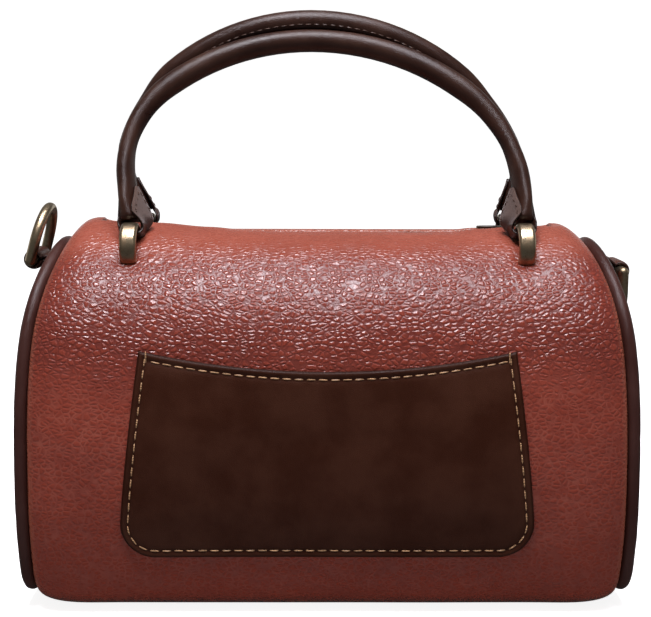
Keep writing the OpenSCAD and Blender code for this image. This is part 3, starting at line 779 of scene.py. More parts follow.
def makeEndPanel(side):
    look = panelLook
    name = sideName(side)
    edge = outlineLoop(seamInset + bodyForm["bindingRadius"]*look["underBinding"], look["step"])
    centre = Vector((0.0, bodyHeight*look["middleHeight"]))
    outer, inner, wear = [], [], []
    for k in range(look["rings"]):
        share = 1 - k/look["rings"]
        for y, z in edge:
            place = centre + (Vector((y, z)) - centre)*share
            uneven = noise.noise(Vector((place.x, place.y, side))/look["unevenSize"])*(1 - share**8)
            swell = look["bulge"]*(1 - share**2)**2 + look["unevenness"]*uneven
            middle = endX(place.y) + swell
            outer.append(Vector((side*(middle + look["thickness"]/2), place.x, place.y)))
            inner.append(Vector((side*(middle - look["thickness"]/2), place.x, place.y)))
            wear.append(look["worn"]*smoothStep(look["wornFrom"], 1.0, share))
    count = len(edge)
    faces = gridFaces(look["rings"], count, closedColumns=True)
    last = (look["rings"] - 1)*count
    faces.append(tuple(last + j for j in range(count)))
    addSheet(f"leather_end_{name}", outer, inner, faces, "bag", "pebbled",
             [f"end_panel_{name}"], {"wear": wear*2})


bindingLook = {
    "step": 2.0*mm, "sides": 22, "wobble": 0.12*mm, "wobbleSize": 7*mm,
    "grooveAt": math.radians(135), "groove": 0.35*mm, "grooveWidth": 0.22, "dark": 0.7, "darkWidth": 0.3,
}


def makeBinding(side):
    # rolled welt over the end seam, with a shallow stitch groove towards the body
    look = bindingLook
    name = sideName(side)
    along = Vector((side, 0.0, 0.0))
    rings, edges = [], []
    for around in spread(halfLoop, -halfLoop, look["step"])[:-1]:
        y, z, angle = outlineAt(around, seamInset)
        out = Vector((0.0, *outward(angle)))
        centre = Vector((side*endX(z), y, z))
        ring = []
        for turn in turnsRound(look["sides"]):
            wobble = look["wobble"]*noise.noise(Vector((around, turn*0.01, side))/look["wobbleSize"])
            radius = bodyForm["bindingRadius"] + wobble
            radius -= look["groove"]*hump(turn, look["grooveAt"], look["grooveWidth"])
            ring.append(centre + radius*(math.cos(turn)*out + math.sin(turn)*along))
            edges.append(look["dark"]*hump(turn, look["grooveAt"], look["darkWidth"]))
        rings.append(ring)
    points = flatRows(rings)
    faces = gridFaces(len(rings), look["sides"], closedRows=True, closedColumns=True)
    addPiece(f"rolled_binding_{name}", points, turnedOut(points, faces), "bag", "binding",
             [f"binding_{name}"], {"edge": edges})


# stitches

stitchLook = {"rings": 7, "sides": 8, "sink": 0.35, "dip": 1.15, "tip": 0.06}


def stitchMesh(places, length, radius):
    # places are (point, direction, outward normal); each stitch is a bent capsule that dips at its ends
    look = stitchLook
    points, faces = [], []
    for point, direction, normal in places:
        direction = direction.normalized()
        normal = (normal - normal.dot(direction)*direction).normalized()
        across = direction.cross(normal)
        stitch = []
        for i in range(look["rings"]):
            along = -1 + 2*i/(look["rings"] - 1)
            thick = radius*math.sqrt(max(look["tip"], 1 - abs(along)**3.2))
            rise = radius*(1 - look["sink"]) - radius*look["dip"]*abs(along)**2.6
            centre = point + direction*(along*length/2) + normal*rise
            stitch.append([centre + thick*(math.cos(t)*across + math.sin(t)*normal)
                           for t in turnsRound(look["sides"])])
        newPoints, newFaces = tube(stitch)
        faces += [tuple(p + len(points) for p in face) for face in newFaces]
        points += newPoints
    return points, faces


def addStitches(name, places, look, body="bag", finish="darkThread"):
    points, faces = stitchMesh(places, look["stitchLength"], look["stitchRadius"])
    addPiece(name, points, faces, body, finish)


def alongLine(line, pitch):
    # (point, direction) at every pitch along a polyline
    places, travelled, wanted = [], 0.0, 0.0
    for a, b in zip(line, line[1:]):
        length = (b - a).length
        while length > 0 and wanted <= travelled + length:
            places.append((a.lerp(b, (wanted - travelled)/length), (b - a).normalized()))
            wanted += pitch
        travelled += length
    return places


# pocket

pocketLow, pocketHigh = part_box("pocket_panel")
pocketLook = {
    "topHalf": 75.5*mm, "bottomHalf": pocketHigh.x, "bottom": pocketLow.z, "dip": 8*mm, "corner": 14*mm,
    "thickness": 1.8*mm, "edgeRound": 0.9*mm, "gape": 1.0*mm, "gapeReach": 30*mm,
    "stitchInset": 3.2*mm, "stitchPitch": 4.8*mm, "stitchLength": 4.0*mm, "stitchRadius": 0.30*mm,
    "bead": 0.30*mm, "beadInset": 1.4*mm, "beadWidth": 0.8*mm, "groove": 0.35*mm, "grooveWidth": 0.9*mm,
    "fill": 0.5*mm, "fillFrom": (3*mm, 26*mm), "crease": 0.35*mm, "creaseSize": 24*mm,
    "darkEdge": 1.6*mm, "darkGroove": 0.7*mm, "step": 2.2*mm, "barStitches": (0.6*mm, 1.7*mm),
}
pocketTop = pocketHigh.z


def pocketMouth(x):
    # height of the sagging mouth
    return pocketTop - pocketLook["dip"]*(1 - (x/pocketLook["topHalf"])**2)


def pocketHalfWidth(z):
    # the pocket widens a little towards its rounded bottom corners
    look = pocketLook
    above = look["bottom"] + look["corner"]
    if z < above:
        reach = max(0.0, look["corner"]**2 - (above - z)**2)
        return look["bottomHalf"] - look["corner"] + math.sqrt(reach)
    rise = (z - above)/(pocketTop - above)
    return mix(look["bottomHalf"], look["topHalf"], rise**1.15)


def pocketEdgeDistance(x, z):
    # distance inside the nearest edge
    look = pocketLook
    fromMouth = pocketMouth(x) - z
    fromBottom = z - look["bottom"]
    fromSide = pocketHalfWidth(max(z, look["bottom"] + look["corner"])) - abs(x)
    cornerX = look["bottomHalf"] - look["corner"]
    cornerZ = look["bottom"] + look["corner"]
    if abs(x) > cornerX and z < cornerZ:
        fromSide = look["corner"] - math.hypot(abs(x) - cornerX, cornerZ - z)
        fromBottom = fromSide
    return max(0.0, min(fromMouth, fromBottom, fromSide))


def pocketHeight(x, z):
    # how far the pocket's face stands out from the body
    look = pocketLook
    inside = pocketEdgeDistance(x, z)
    rounding = clamp(inside/look["edgeRound"], 0.0, 1.0)
    height = look["thickness"]*math.sqrt(1 - (1 - rounding)**2)
    height += look["bead"]*hump(inside, look["beadInset"], look["beadWidth"])
    height -= look["groove"]*hump(inside, look["stitchInset"], look["grooveWidth"])
    swell = smoothStep(*look["fillFrom"], inside)
    crease = noise.noise(Vector((x*0.6, z, 0.0))/look["creaseSize"])
    return height + look["fill"]*swell + look["crease"]*crease*swell + pocketGape(x, z)


def pocketGape(x, z):
    # the mouth stands a little open in its middle
    across = 1 - (x/pocketLook["topHalf"])**2
    return pocketLook["gape"]*max(0.0, across)*smoothStep(pocketLook["gapeReach"], 0.0, pocketMouth(x) - z)


def onPocket(x, z, height):
    # place at a height above the body's leather
    around = aroundAt(z)
    return skin(x, around) + skinNormal(around)*height


def onPocketFace(x, z):
    return onPocket(x, z, bodyForm["gap"] + pocketHeight(x, z))


def edgeSteps(reach, step):
    # distances from an edge, close together near it
    near = [0.0, 0.15*mm, 0.4*mm, 0.8*mm, 1.3*mm, 1.9*mm, 2.5*mm, 3.2*mm, 3.9*mm, 4.7*mm, 6.0*mm]
    return near + spread(near[-1] + step, reach, step)


def makePocket():
    look = pocketLook
    middleHeight = (pocketTop - look["bottom"])/2
    lower = [d/middleHeight/2 for d in edgeSteps(middleHeight, look["step"])]
    heights = lower + [1 - share for share in reversed(lower[:-1])]
    sides = [d/look["bottomHalf"] for d in edgeSteps(look["bottomHalf"], look["step"])]
    widths = [share - 1 for share in sides] + [1 - share for share in reversed(sides[:-1])]
    outer, inner, edges = [], [], []
    for up in heights:
        for across in widths:
            z = look["bottom"] + (pocketTop - look["bottom"])*up
            x = pocketHalfWidth(z)*across
            z = mix(look["bottom"], pocketMouth(x), up)
            x = pocketHalfWidth(z)*across
            outer.append(onPocketFace(x, z))
            inner.append(onPocket(x, z, bodyForm["gap"]*0.5 + pocketGape(x, z)))
            inside = pocketEdgeDistance(x, z)
            groove = hump(inside, look["stitchInset"], look["darkGroove"])
            edges.append(0.9*smoothStep(look["darkEdge"], 0.0, inside) + 0.5*groove)
    addSheet("pocket", outer, inner, gridFaces(len(heights), len(widths)), "bag",
             "pocket", ["pocket_panel"], {"edge": edges + [1.0]*len(edges)})


def pocketStitchLine():
    # closed line inside the pocket's edge: down the left side, along the bottom and up the right side
    look = pocketLook
    inset = look["stitchInset"]
    half = []
    top = pocketMouth(look["topHalf"] - inset) - inset
    for z in spread(top, look["bottom"] + look["corner"], 2*mm):
        half.append((pocketHalfWidth(z) - inset, z))
    reach = look["corner"] - inset
    for turn in spread(0.0, math.pi/2, math.pi/24)[1:]:
        half.append((look["bottomHalf"] - look["corner"] + reach*math.cos(turn),
                     look["bottom"] + look["corner"] - reach*math.sin(turn)))
    across = [(x, look["bottom"] + inset) for x in spread(half[-1][0], -half[-1][0], 2*mm)[1:-1]]
    sides = half + across + [(-x, z) for x, z in reversed(half)]
    mouth = [(x, pocketMouth(x) - inset) for x in spread(-half[0][0], half[0][0], 2*mm)[1:-1]]
    return sides + mouth + [sides[0]]


def makePocketStitches():
    look = pocketLook
    flat = [Vector((x, z)) for x, z in pocketStitchLine()]
    places = []
    for place, direction in alongLine(flat, look["stitchPitch"]):
        step = direction*0.5*mm
        ahead = onPocketFace(*(place + step)) - onPocketFace(*(place - step))
        places.append((onPocketFace(*place), ahead, skinNormal(aroundAt(place.y))))
    # a short bar of thread holds each end of the mouth
    for side in (-1, 1):
        x = side*(look["topHalf"] - look["stitchInset"])
        for above in look["barStitches"]:
            z = pocketMouth(x) - look["stitchInset"] + above
            places.append((onPocketFace(x, z), Vector((0.0, 0.0, 1.0)), skinNormal(aroundAt(z))))
    addStitches("pocket_stitches", places, look, finish="tanThread")


# handles

handleLook = {
    "rise": 96*mm, "radius": 4.8*mm, "archShift": 7*mm, "frontTopDepth": 13*mm, "gapBetween": 0.45*mm,
    "legStart": 9*mm, "step": 1.5*mm, "turnStep": math.radians(3),
    # angle of each leg from upright, angle where its bend ends, radius of the bend
    "left": (-8, 51, 47*mm), "right": (0, 50, 62*mm),
    "rearSpread": {-1: 5.5*mm, 1: 4.5*mm}, "spreadFrom": (10*mm, 30*mm), "spreadTo": (64*mm, 36*mm),
    "frontTwist": 33.0, "rearTwist": 16.0, "twistFrom": (8*mm, 14*mm), "twistTo": (30*mm, 54*mm),
    "startGap": 0.6*mm, "sides": 28,
    # by the distance from the ring: half width in the arch's plane, half depth and squareness
    "wide": [(11*mm, 3.9*mm), (15*mm, 3.1*mm), (20*mm, 2.7*mm), (30*mm, 3.1*mm), (44*mm, 3.4*mm),
             (62*mm, 4.1*mm), (85*mm, 4.8*mm)],
    "deep": [(11*mm, 3.4*mm), (15*mm, 4.6*mm), (20*mm, 5.2*mm), (30*mm, 4.6*mm), (44*mm, 4.2*mm),
             (62*mm, 4.4*mm), (85*mm, 4.8*mm)],
    "square": [(12*mm, 2.8), (36*mm, 2.6), (60*mm, 2.0)],
}


def halfArch(span, legAngle, bendAngle, bendRadius):
    # places along one half of the arch from the ring to the top: sideways, up and angle from upright
    rise, start = handleLook["rise"], handleLook["legStart"]
    legTurn, bendTurn = math.radians(legAngle), math.radians(bendAngle)
    # the leg's length and the crown's radius that meet the rise and the span
    crownSlope = (1 - math.sin(bendTurn))/math.cos(bendTurn)
    top = rise - start - bendRadius*(math.sin(bendTurn) - math.sin(legTurn))
    across = span - bendRadius*(math.cos(legTurn) - math.cos(bendTurn))
    leg = (top - crownSlope*across)/(math.cos(legTurn) - crownSlope*math.sin(legTurn))
    crownRadius = (across - leg*math.sin(legTurn))/math.cos(bendTurn)
    places = []
    for up in spread(0.0, start + leg*math.cos(legTurn), handleLook["step"]):
        places.append((-span + (up - start)*math.tan(legTurn), up, legTurn))
    centreX = places[-1][0] + bendRadius*math.cos(legTurn)
    centreZ = places[-1][1] - bendRadius*math.sin(legTurn)
    for angle in spread(legTurn, bendTurn, handleLook["turnStep"])[1:]:
        places.append((centreX - bendRadius*math.cos(angle), centreZ + bendRadius*math.sin(angle), angle))
    for angle in spread(bendTurn, math.pi/2, handleLook["turnStep"])[1:]:
        places.append((-crownRadius*math.cos(angle), rise - crownRadius*(1 - math.sin(angle)), angle))
    return places


def spreadOut(up, side, front):
    # the rear handle's legs bow outward, so that they stand behind the front one's
    if front:
        return 0.0
    look = handleLook
    return look["rearSpread"][side]*smoothStep(*look["spreadFrom"], up)*smoothStep(*look["spreadTo"], up)


def archPlaces(front):
    # the whole arch, a little off the middle, as it hangs in the photograph
    shift = handleLook["archShift"]
    left = halfArch(ringHalfSpan - shift, *handleLook["left"])
    right = halfArch(ringHalfSpan + shift, *handleLook["right"])
    places = [(x - shift - spreadOut(z, -1, front), z, a) for x, z, a in left]
    places += [(-x - shift + spreadOut(z, 1, front), z, math.pi - a) for x, z, a in reversed(right[:-1])]
    return places


def handleLean(front):
    # turn about X from upright of each handle
    rise = handleLook["rise"]
    lean = math.asin((ringDepth + handleLook["frontTopDepth"])/rise)
    if front:
        return -lean
    up = rise*math.cos(lean)
    back = ringDepth - handleLook["frontTopDepth"]
    reach = math.hypot(back, up)
    touching = 2*handleLook["radius"] + handleLook["gapBetween"]
    toFront = math.atan2(back, up)
    return toFront - math.acos((rise**2 + reach**2 - touching**2)/(2*rise*reach))


def handleFrame(front):
    # from a handle's own upright plane to the bag's frame
    place = Vector((0.0, -ringDepth if front else ringDepth, ringHeight))
    return Matrix.Translation(place) @ Matrix.Rotation(handleLean(front), 4, "X")


def twistAt(up, front):
    # the flat part of each leg is turned towards the viewer of its own side
    twist = math.radians(handleLook["frontTwist"] if front else -handleLook["rearTwist"])
    return twist*smoothStep(*handleLook["twistFrom"], up)*(1 - smoothStep(*handleLook["twistTo"], up))


# each leg from its ring up, as for the left leg
legLines = {(-1, front): archPlaces(front) for front in (True, False)}
for front in (True, False):
    legLines[1, front] = [(-x, z, math.pi - a) for x, z, a in reversed(archPlaces(front))]


def legCentre(up, side, front):
    # sideways place of a leg's middle and its angle from upright
    leg = legLines[side, front]
    for (xa, za, aa), (xb, zb, ab) in zip(leg, leg[1:]):
        if up <= zb:
            share = (up - za)/(zb - za)
            return mix(xa, xb, share), mix(aa, ab, share)


def twisted(inward, depth, up, front):
    # a place beside a leg's middle after the leg's twist
    turn = twistAt(up, front)
    return inward*math.cos(turn) + depth*math.sin(turn), -inward*math.sin(turn) + depth*math.cos(turn)


def legPlace(inward, depth, up, side, front):
    # point beside a leg: inward towards the other leg, depth towards the back, up from the ring
    inward, depth = twisted(inward, depth, up, front)
    x, angle = legCentre(up, side, front)
    x += inward*math.cos(angle)
    return Vector((x if side < 0 else -x, depth, up - inward*math.sin(angle)*0.5))


def superPoint(turn, square):
    # point of a rounded square, 2 is a circle
    c, s = math.cos(turn), math.sin(turn)
    return (math.copysign(abs(c)**(2/square), c), math.copysign(abs(s)**(2/square), s))


seamLook = {
    "turn": math.radians(52), "from": (46*mm, 60*mm), "ridge": 0.10, "ridgeWidth": 0.30,
    "groove": 0.09, "grooveWidth": 0.10, "dark": 0.8, "darkWidth": 0.12,
    "stitchesFrom": 52*mm, "stitchesBeside": 0.42, "stitchesOut": 1.03,
    "pitch": 3.6*mm, "stitchLength": 2.6*mm, "stitchRadius": 0.3*mm,
}


def seamTurn(front, beside=0.0):
    # angle round the handle of its seam, which is on the handle's outer side
    return (seamLook["turn"] + beside)*(1 if front else -1)


def handleRing(place, across, up, front):
    # closed ring of the rolled leather at a place of the arch, and how dark it is at its seam
    seam = seamLook
    wide, deep, square = (curveThrough(handleLook[key], up) for key in ("wide", "deep", "square"))
    rolled = smoothStep(*seam["from"], up)
    ring, dark = [], []
    for around in turnsRound(handleLook["sides"]):
        a, b = superPoint(around, square)
        gap = math.remainder(around - seamTurn(front), 2*math.pi)
        ridge = seam["ridge"]*hump(gap, 0.0, seam["ridgeWidth"])
        lift = 1 + rolled*(ridge - seam["groove"]*hump(gap, 0.0, seam["grooveWidth"]))
        inward, depth = twisted(wide*a*lift, deep*b*lift, up, front)
        ring.append(place + across*inward + Vector((0.0, depth, 0.0)))
        dark.append(seam["dark"]*rolled*hump(gap, 0.0, seam["darkWidth"]))
    return ring, dark


def seamPlace(place, across, up, front):
    # place of the seam's stitches at a place of the arch, and the way out from the handle there
    beside = seamTurn(front, seamLook["stitchesBeside"])
    a, b = math.cos(beside), math.sin(beside)
    wide, deep = (curveThrough(handleLook[key], up) for key in ("wide", "deep"))
    out = across*wide*a + Vector((0.0, deep*b, 0.0))
    return place + out*seamLook["stitchesOut"], across*a + Vector((0.0, b, 0.0))


def makeHandle(front):
    # rolled leather with its seam on the outer side, flattened and turned near the rings
    name = frontName(front)
    toWorld = handleFrame(front)
    places = archPlaces(front)
    travelled = [0.0]
    for (xa, za, aa), (xb, zb, ab) in zip(places, places[1:]):
        travelled.append(travelled[-1] + math.hypot(xb - xa, zb - za))
    rings, edges, seamLine = [], [], []
    for (x, z, angle), along in zip(places, travelled):
        up = min(along, travelled[-1] - along)
        if up < ringReach + handleLook["startGap"]:
            continue
        place = Vector((x, 0.0, z))
        across = Vector((math.cos(angle), 0.0, -math.sin(angle)))
        ring, dark = handleRing(place, across, up, front)
        rings.append([toWorld @ point for point in ring])
        edges += dark
        if up > seamLook["stitchesFrom"]:
            sewn, out = seamPlace(place, across, up, front)
            seamLine.append((toWorld @ sewn, toWorld.to_3x3() @ out))
    points, faces = tube(rings)
    addPiece(f"rolled_handle_{name}", points, faces, f"handle_{name}", "handle",
             [f"handle_{name}"], {"edge": edges})
    makeHandleSeam(name, seamLine)
    for side in (-1, 1):
        makeHandleStrap(side, front)


def makeHandleSeam(name, seamLine):
    line = [place for place, normal in seamLine]
    places = []
    for point, direction in alongLine(line, seamLook["pitch"]):
        nearest = min(seamLine, key=lambda entry: (entry[0] - point).length_squared)
        places.append((point, direction, nearest[1]))
    addStitches(f"handle_seam_stitches_{name}", places, seamLook, f"handle_{name}")


strapLook = {
    "thickness": 1.5*mm, "steps": 9, "aside": 2.3*mm, "asideFrom": (5.5*mm, 9*mm), "asideTo": (36*mm, 22*mm),
    "bentBelow": (20*mm, 11*mm), "dark": 0.8, "darkFrom": 0.8, "leafFrom": 12.0, "rearLeaf": 0.62,
    "rearLeafInward": 3.3, "suedeInward": 4*mm, "suedeFrom": 10*mm,
    # path beside a leg: inward, up and half its width, in mm; it passes under the ring's bar
    "path": [
        (-2.0, 38.0, 1.2), (-2.6, 35.0, 2.2), (-2.9, 31.0, 3.2), (-3.0, 26.0, 4.2), (-3.1, 21.5, 4.9),
        (-3.6, 17.5, 5.1), (-4.4, 13.8, 5.1), (-4.85, 11.0, 5.0), (-4.7, 8.1, 4.0), (-3.6, 6.2, 3.0),
        (-1.6, 5.65, 2.8), (1.6, 5.65, 2.8), (3.6, 6.2, 3.0), (4.7, 8.1, 4.0), (4.9, 11.0, 5.5),
        (4.9, 12.8, 6.5), (4.8, 14.6, 7.0), (4.6, 16.6, 6.4), (4.3, 18.8, 5.2), (4.0, 21.0, 4.0),
        (3.8, 23.2, 2.9), (3.6, 25.2, 1.9), (3.5, 26.4, 1.0)],
}


def finePath(path, parts=4):
    # Catmull-Rom points through a path of tuples
    fine = []
    for i in range(len(path) - 1):
        p = [path[clamp(i + k, 0, len(path) - 1)] for k in (-1, 0, 1, 2)]
        for t in (step/parts for step in range(parts)):
            fine.append(tuple(
                0.5*(2*b + (c - a)*t + (2*a - 5*b + 4*c - d)*t*t + (3*b - a - 3*c + d)*t**3)
                for a, b, c, d in zip(*p)))
    fine.append(path[-1])
    return fine


def sideways(path, i):
    # unit normal of a flat path at its point i
    before, after = path[max(i - 1, 0)], path[min(i + 1, len(path) - 1)]
    da, db = after[0] - before[0], after[1] - before[1]
    length = math.hypot(da, db)
    return -db/length, da/length


def strapAside(up, front):
    # the strap stands a little away from the side that its handle falls to
    look = strapLook
    away = look["aside"]*smoothStep(*look["asideFrom"], up)*smoothStep(*look["asideTo"], up)
    return away if front else -away


def handleStrapPath(front):
    path = []
    for inward, up, width in strapLook["path"]:
        if not front and inward > 0 and up > strapLook["leafFrom"]:
            inward, width = min(inward, strapLook["rearLeafInward"]), width*strapLook["rearLeaf"]
        path.append((inward*mm, up*mm, width*mm))
    return finePath(path)


def makeHandleStrap(side, front):
    # flat leather that runs down the outer side of a leg, round the ring's bar and up the inner side
    look = strapLook
    name = f"{frontName(front)}_{sideName(side)}"
    toWorld = handleFrame(front)
    path = handleStrapPath(front)
    half = look["thickness"]/2
    outer, inner, edges = [], [], []
    for i, (inward, up, width) in enumerate(path):
        normal = sideways(path, i)
        bent = smoothStep(*look["bentBelow"], up)
        for across in acrossStrip(look["steps"]):
            rounding = math.sqrt(max(0.12, 1 - abs(across)**5))
            depth = across*width
            for sign, skinPoints in ((-1, outer), (1, inner)):
                n = inward + sign*normal[0]*half*rounding
                u = up + sign*normal[1]*half*rounding
                fall = u - math.sqrt(max(0.0, u*u - depth*depth)) if u > abs(depth) else 0.0
                place = legPlace(n, depth + strapAside(up, front), u - fall*bent, side, front)
                skinPoints.append(toWorld @ place)
            edges.append(look["dark"]*smoothStep(look["darkFrom"], 1.0, abs(across)))
    piece = addSheet(f"ring_strap_{name}", outer, inner, gridFaces(len(path), look["steps"]),
                     f"handle_{frontName(front)}", "handle", (), {"edge": edges*2})
    showFleshSide(piece, path)
    makeStrapStitches(name, side, front, path, toWorld)


def showFleshSide(piece, path):
    # the leaf on the inner side of the leg shows the back of its leather
    look = strapLook
    piece.data.materials.append(finishes["suede"])
    perRow = look["steps"] - 1
    leafStart = next(i for i, (inward, up, width) in enumerate(path)
                     if inward > look["suedeInward"] and up > look["suedeFrom"])
    for polygon in piece.data.polygons:
        if leafStart*perRow <= polygon.index < (len(path) - 1)*perRow:
            polygon.material_index = 1


strapStitchLook = {
    "out": 0.72*mm, "inset": 1.9*mm, "inwardFrom": 3*mm, "from": 14*mm, "to": 28*mm, "narrowest": 2.6*mm,
    "pitch": 3.4*mm, "stitchLength": 2.4*mm, "stitchRadius": 0.24*mm,
}


def makeStrapStitches(name, side, front, path, toWorld):
    look = strapStitchLook
    sewn = [(inward, up, width) for inward, up, width in path
            if inward > look["inwardFrom"] and look["from"] < up < look["to"] and width > look["narrowest"]]

    def placed(p):
        return toWorld @ legPlace(p.x, p.y + strapAside(p.z, front), p.z, side, front)

    places = []
    for edge in (-1, 1):
        line = [Vector((inward + look["out"], edge*(width - look["inset"]), up))
                for inward, up, width in sewn]
        for point, direction in alongLine(line, look["pitch"]):
            normal = placed(point + Vector((mm, 0.0, 0.0))) - placed(point)
            ahead = placed(point + direction*0.5*mm) - placed(point - direction*0.5*mm)
            places.append((placed(point), ahead, normal))
    addStitches(f"ring_strap_stitches_{name}", places, look, f"handle_{frontName(front)}")


coreLook = {"from": 41*mm, "radius": 2.95*mm, "strand": 0.22*mm, "strands": 3, "twist": 2.2*mm, "sides": 24}


def makeHandleCore(front):
    # twisted cotton cord inside the rolled leather
    look = coreLook
    name = frontName(front)
    toWorld = handleFrame(front)
    back = Vector((0.0, 1.0, 0.0))
    rings = []
    travelled, last = 0.0, None
    for x, z, angle in archPlaces(front):
        place = Vector((x, 0.0, z))
        travelled += (place - last).length if last else 0.0
        last = place
        if z < look["from"]:
            continue
        n = Vector((math.cos(angle), 0.0, -math.sin(angle)))
        ring = []
        for turn in turnsRound(look["sides"]):
            radius = look["radius"] + look["strand"]*math.cos(look["strands"]*turn - travelled/look["twist"])
            ring.append(toWorld @ (place + radius*(math.cos(turn)*n + math.sin(turn)*back)))
        rings.append(ring)
    points, faces = tube(rings)
    addPiece(f"core_cord_{name}", points, faces, f"handle_{name}", "cord",
             [f"handle_core_{name}"])


# strap tabs

tabLook = {
    "halfWidth": 10*mm, "thickness": 1.8*mm, "patch": 18*mm, "steps": 11, "barRadius": 2.3*mm,
    "gap": 0.25*mm, "layerGap": 1.04, "overPanel": 0.35*mm, "patchTop": 6*mm,
    "shoulderDrop": 2*mm, "shoulderOut": 0.8*mm, "dark": 0.8, "darkFrom": 0.88,
    "seamTop": 7*mm, "seamInset": 2.2*mm, "seamOut": 0.1*mm,
    "pitch": 3.4*mm, "stitchLength": 2.5*mm, "stitchRadius": 0.34*mm,
}
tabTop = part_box("strap_tab_right")[1].z
tabBottom = tabTop - tabLook["patch"]


def ringBar(side):
    # middle of the ring's straight bar
    joints = {joint["name"]: joint for joint in frame["joints"]}
    place = joints[f"strap_ring_{sideName(side)}_swing"]["pos_m"]
    return abs(place[0]), place[2]


def tabPath(side):
    # path of the folded strip in the XZ plane, outer layer down to the bar and inner layer back
    look = tabLook
    barX, barZ = ringBar(side)
    thickness = look["thickness"]
    out = panelLook["thickness"]/2 + look["overPanel"] + thickness
    spine = [(endX(z) + out, z) for z in spread(tabBottom, tabTop - look["patchTop"], 3*mm)]
    shoulderZ = tabTop - look["shoulderDrop"]
    shoulder = Vector((endX(shoulderZ) + out + look["shoulderOut"], shoulderZ))
    middle = Vector((barX, barZ))
    reach = look["barRadius"] + look["gap"] + thickness*0.4
    towards = middle + (shoulder - middle).normalized()*reach
    spine = finePath(spine + [tuple(shoulder), tuple(towards)], 3)
    layers = []
    for sign in (-1, 1):
        layer = []
        for i, (x, z) in enumerate(spine):
            a, b = sideways(spine, i)
            away = sign*thickness/2*look["layerGap"]
            layer.append((x + a*away, z + b*away))
        layers.append(layer)
    lower, upper = layers
    radius = look["barRadius"] + look["gap"] + thickness/2
    start = math.atan2(upper[-1][1] - barZ, upper[-1][0] - barX)
    end = math.atan2(lower[-1][1] - barZ, lower[-1][0] - barX)
    if start < 0:
        start += 2*math.pi
    if end > 0:
        end -= 2*math.pi
    loop = [(barX + radius*math.cos(a), barZ + radius*math.sin(a))
            for a in spread(start - 0.35, end + 0.35, 0.2)]
    return upper + loop + list(reversed(lower))


def makeStrapTab(side):
    # leather folded round the ring's bar, sewn on the end panel
    look = tabLook
    name = sideName(side)
    path = tabPath(side)
    outer, inner, edges = [], [], []
    for i, (x, z) in enumerate(path):
        a, b = sideways(path, i)
        for across in acrossStrip(look["steps"]):
            half = math.sqrt(max(0.15, 1 - abs(across)**9))*look["thickness"]/2
            y = across*look["halfWidth"]
            outer.append(Vector((side*(x + a*half), y, z + b*half)))
            inner.append(Vector((side*(x - a*half), y, z - b*half)))
            edges.append(look["dark"]*smoothStep(look["darkFrom"], 1.0, abs(across)))
    addSheet(f"folded_tab_{name}", outer, inner, gridFaces(len(path), look["steps"]), "bag",
             "tab", [f"strap_tab_{name}"], {"edge": edges*2})
    makeTabStitches(name, side)


def makeTabStitches(name, side):
    # the stitches hold the patch on the end panel
    look = tabLook
    out = panelLook["thickness"]/2 + look["overPanel"] + 2*look["thickness"] + look["seamOut"]
    half = look["halfWidth"] - look["seamInset"]
    top, bottom = tabTop - look["seamTop"], tabBottom + look["seamInset"]
    line = [Vector(corner) for corner in ((-half, top), (-half, bottom), (half, bottom), (half, top))]
    places = []
    for point, direction in alongLine(line, look["pitch"]):
        place = Vector((side*(endX(point.y) + out), point.x, point.y))
        places.append((place, Vector((0.0, direction.x, direction.y)), Vector((side, 0.0, 0.0))))
    addStitches(f"tab_stitches_{name}", places, look)


# zip tapes and ring anchors

tapeLook = {
    "endGap": 0.2*mm, "columnStep": 2*mm, "rowStep": 0.8*mm, "thinEdge": 0.25*mm, "thinWidth": 0.8*mm,
    "ripple": 0.05*mm, "rippleSize": 6*mm,
}


def makeZipTape(front):
    look = tapeLook
    name = frontName(front)
    low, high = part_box(f"zip_tape_{name}")
    columns = spread(low.x + look["endGap"], high.x - look["endGap"], look["columnStep"])
    rows = spread(low.y, high.y, look["rowStep"])
    outer, inner = [], []
    for y in rows:
        edge = min(y - low.y, high.y - y)
        thin = look["thinEdge"]*(1 - smoothStep(0.0, look["thinWidth"], edge))
        for x in columns:
            ripple = look["ripple"]*noise.noise(Vector((x, y, 0.0))/look["rippleSize"])
            outer.append(Vector((x, y, high.z - thin + ripple)))
            inner.append(Vector((x, y, low.z + thin)))
    addSheet(f"woven_tape_{name}", outer, inner, gridFaces(len(rows), len(columns)), "bag",
             "tape", [f"zip_tape_{name}"])


anchorLook = {
    "length": 26*mm, "width": 8.4*mm, "thickness": 1.1*mm, "bow": 0.075*mm, "narrowing": 0.35,
    "narrowFrom": 0.40, "columns": 27, "rows": 9,
}


def makeRingAnchor(side, front):
    # leather strip that passes through the ring inside the bag and bends along its top
    look = anchorLook
    name = f"{frontName(front)}_{sideName(side)}"
    length, lastColumn, lastRow = look["length"], look["columns"] - 1, look["rows"] - 1
    lean = math.asin(ringDepth/topRadius)*(-1 if front else 1)
    up = Vector((0.0, math.sin(lean), math.cos(lean)))
    along = Vector((0.0, math.cos(lean), -math.sin(lean)))
    middle = middleOf(f"ring_anchor_{name}")
    outer, inner = [], []
    for i in range(look["columns"]):
        x = mix(-length/2, length/2, i/lastColumn)
        end = 1 - look["narrowing"]*smoothStep(length*look["narrowFrom"], length/2, abs(x))
        bow = look["bow"]*math.cos(x/length*math.pi)
        for j in range(look["rows"]):
            across = -1 + 2*j/lastRow
            centre = middle + Vector((x, 0.0, 0.0)) + along*(across*look["width"]/2*end) - up*bow
            half = look["thickness"]/2*math.sqrt(max(0.2, 1 - abs(across)**6))
            outer.append(centre + up*half)
            inner.append(centre - up*half)
    addSheet(f"anchor_strip_{name}", outer, inner, gridFaces(look["columns"], look["rows"]), "bag",
             "tab", [f"ring_anchor_{name}"])


# pieces

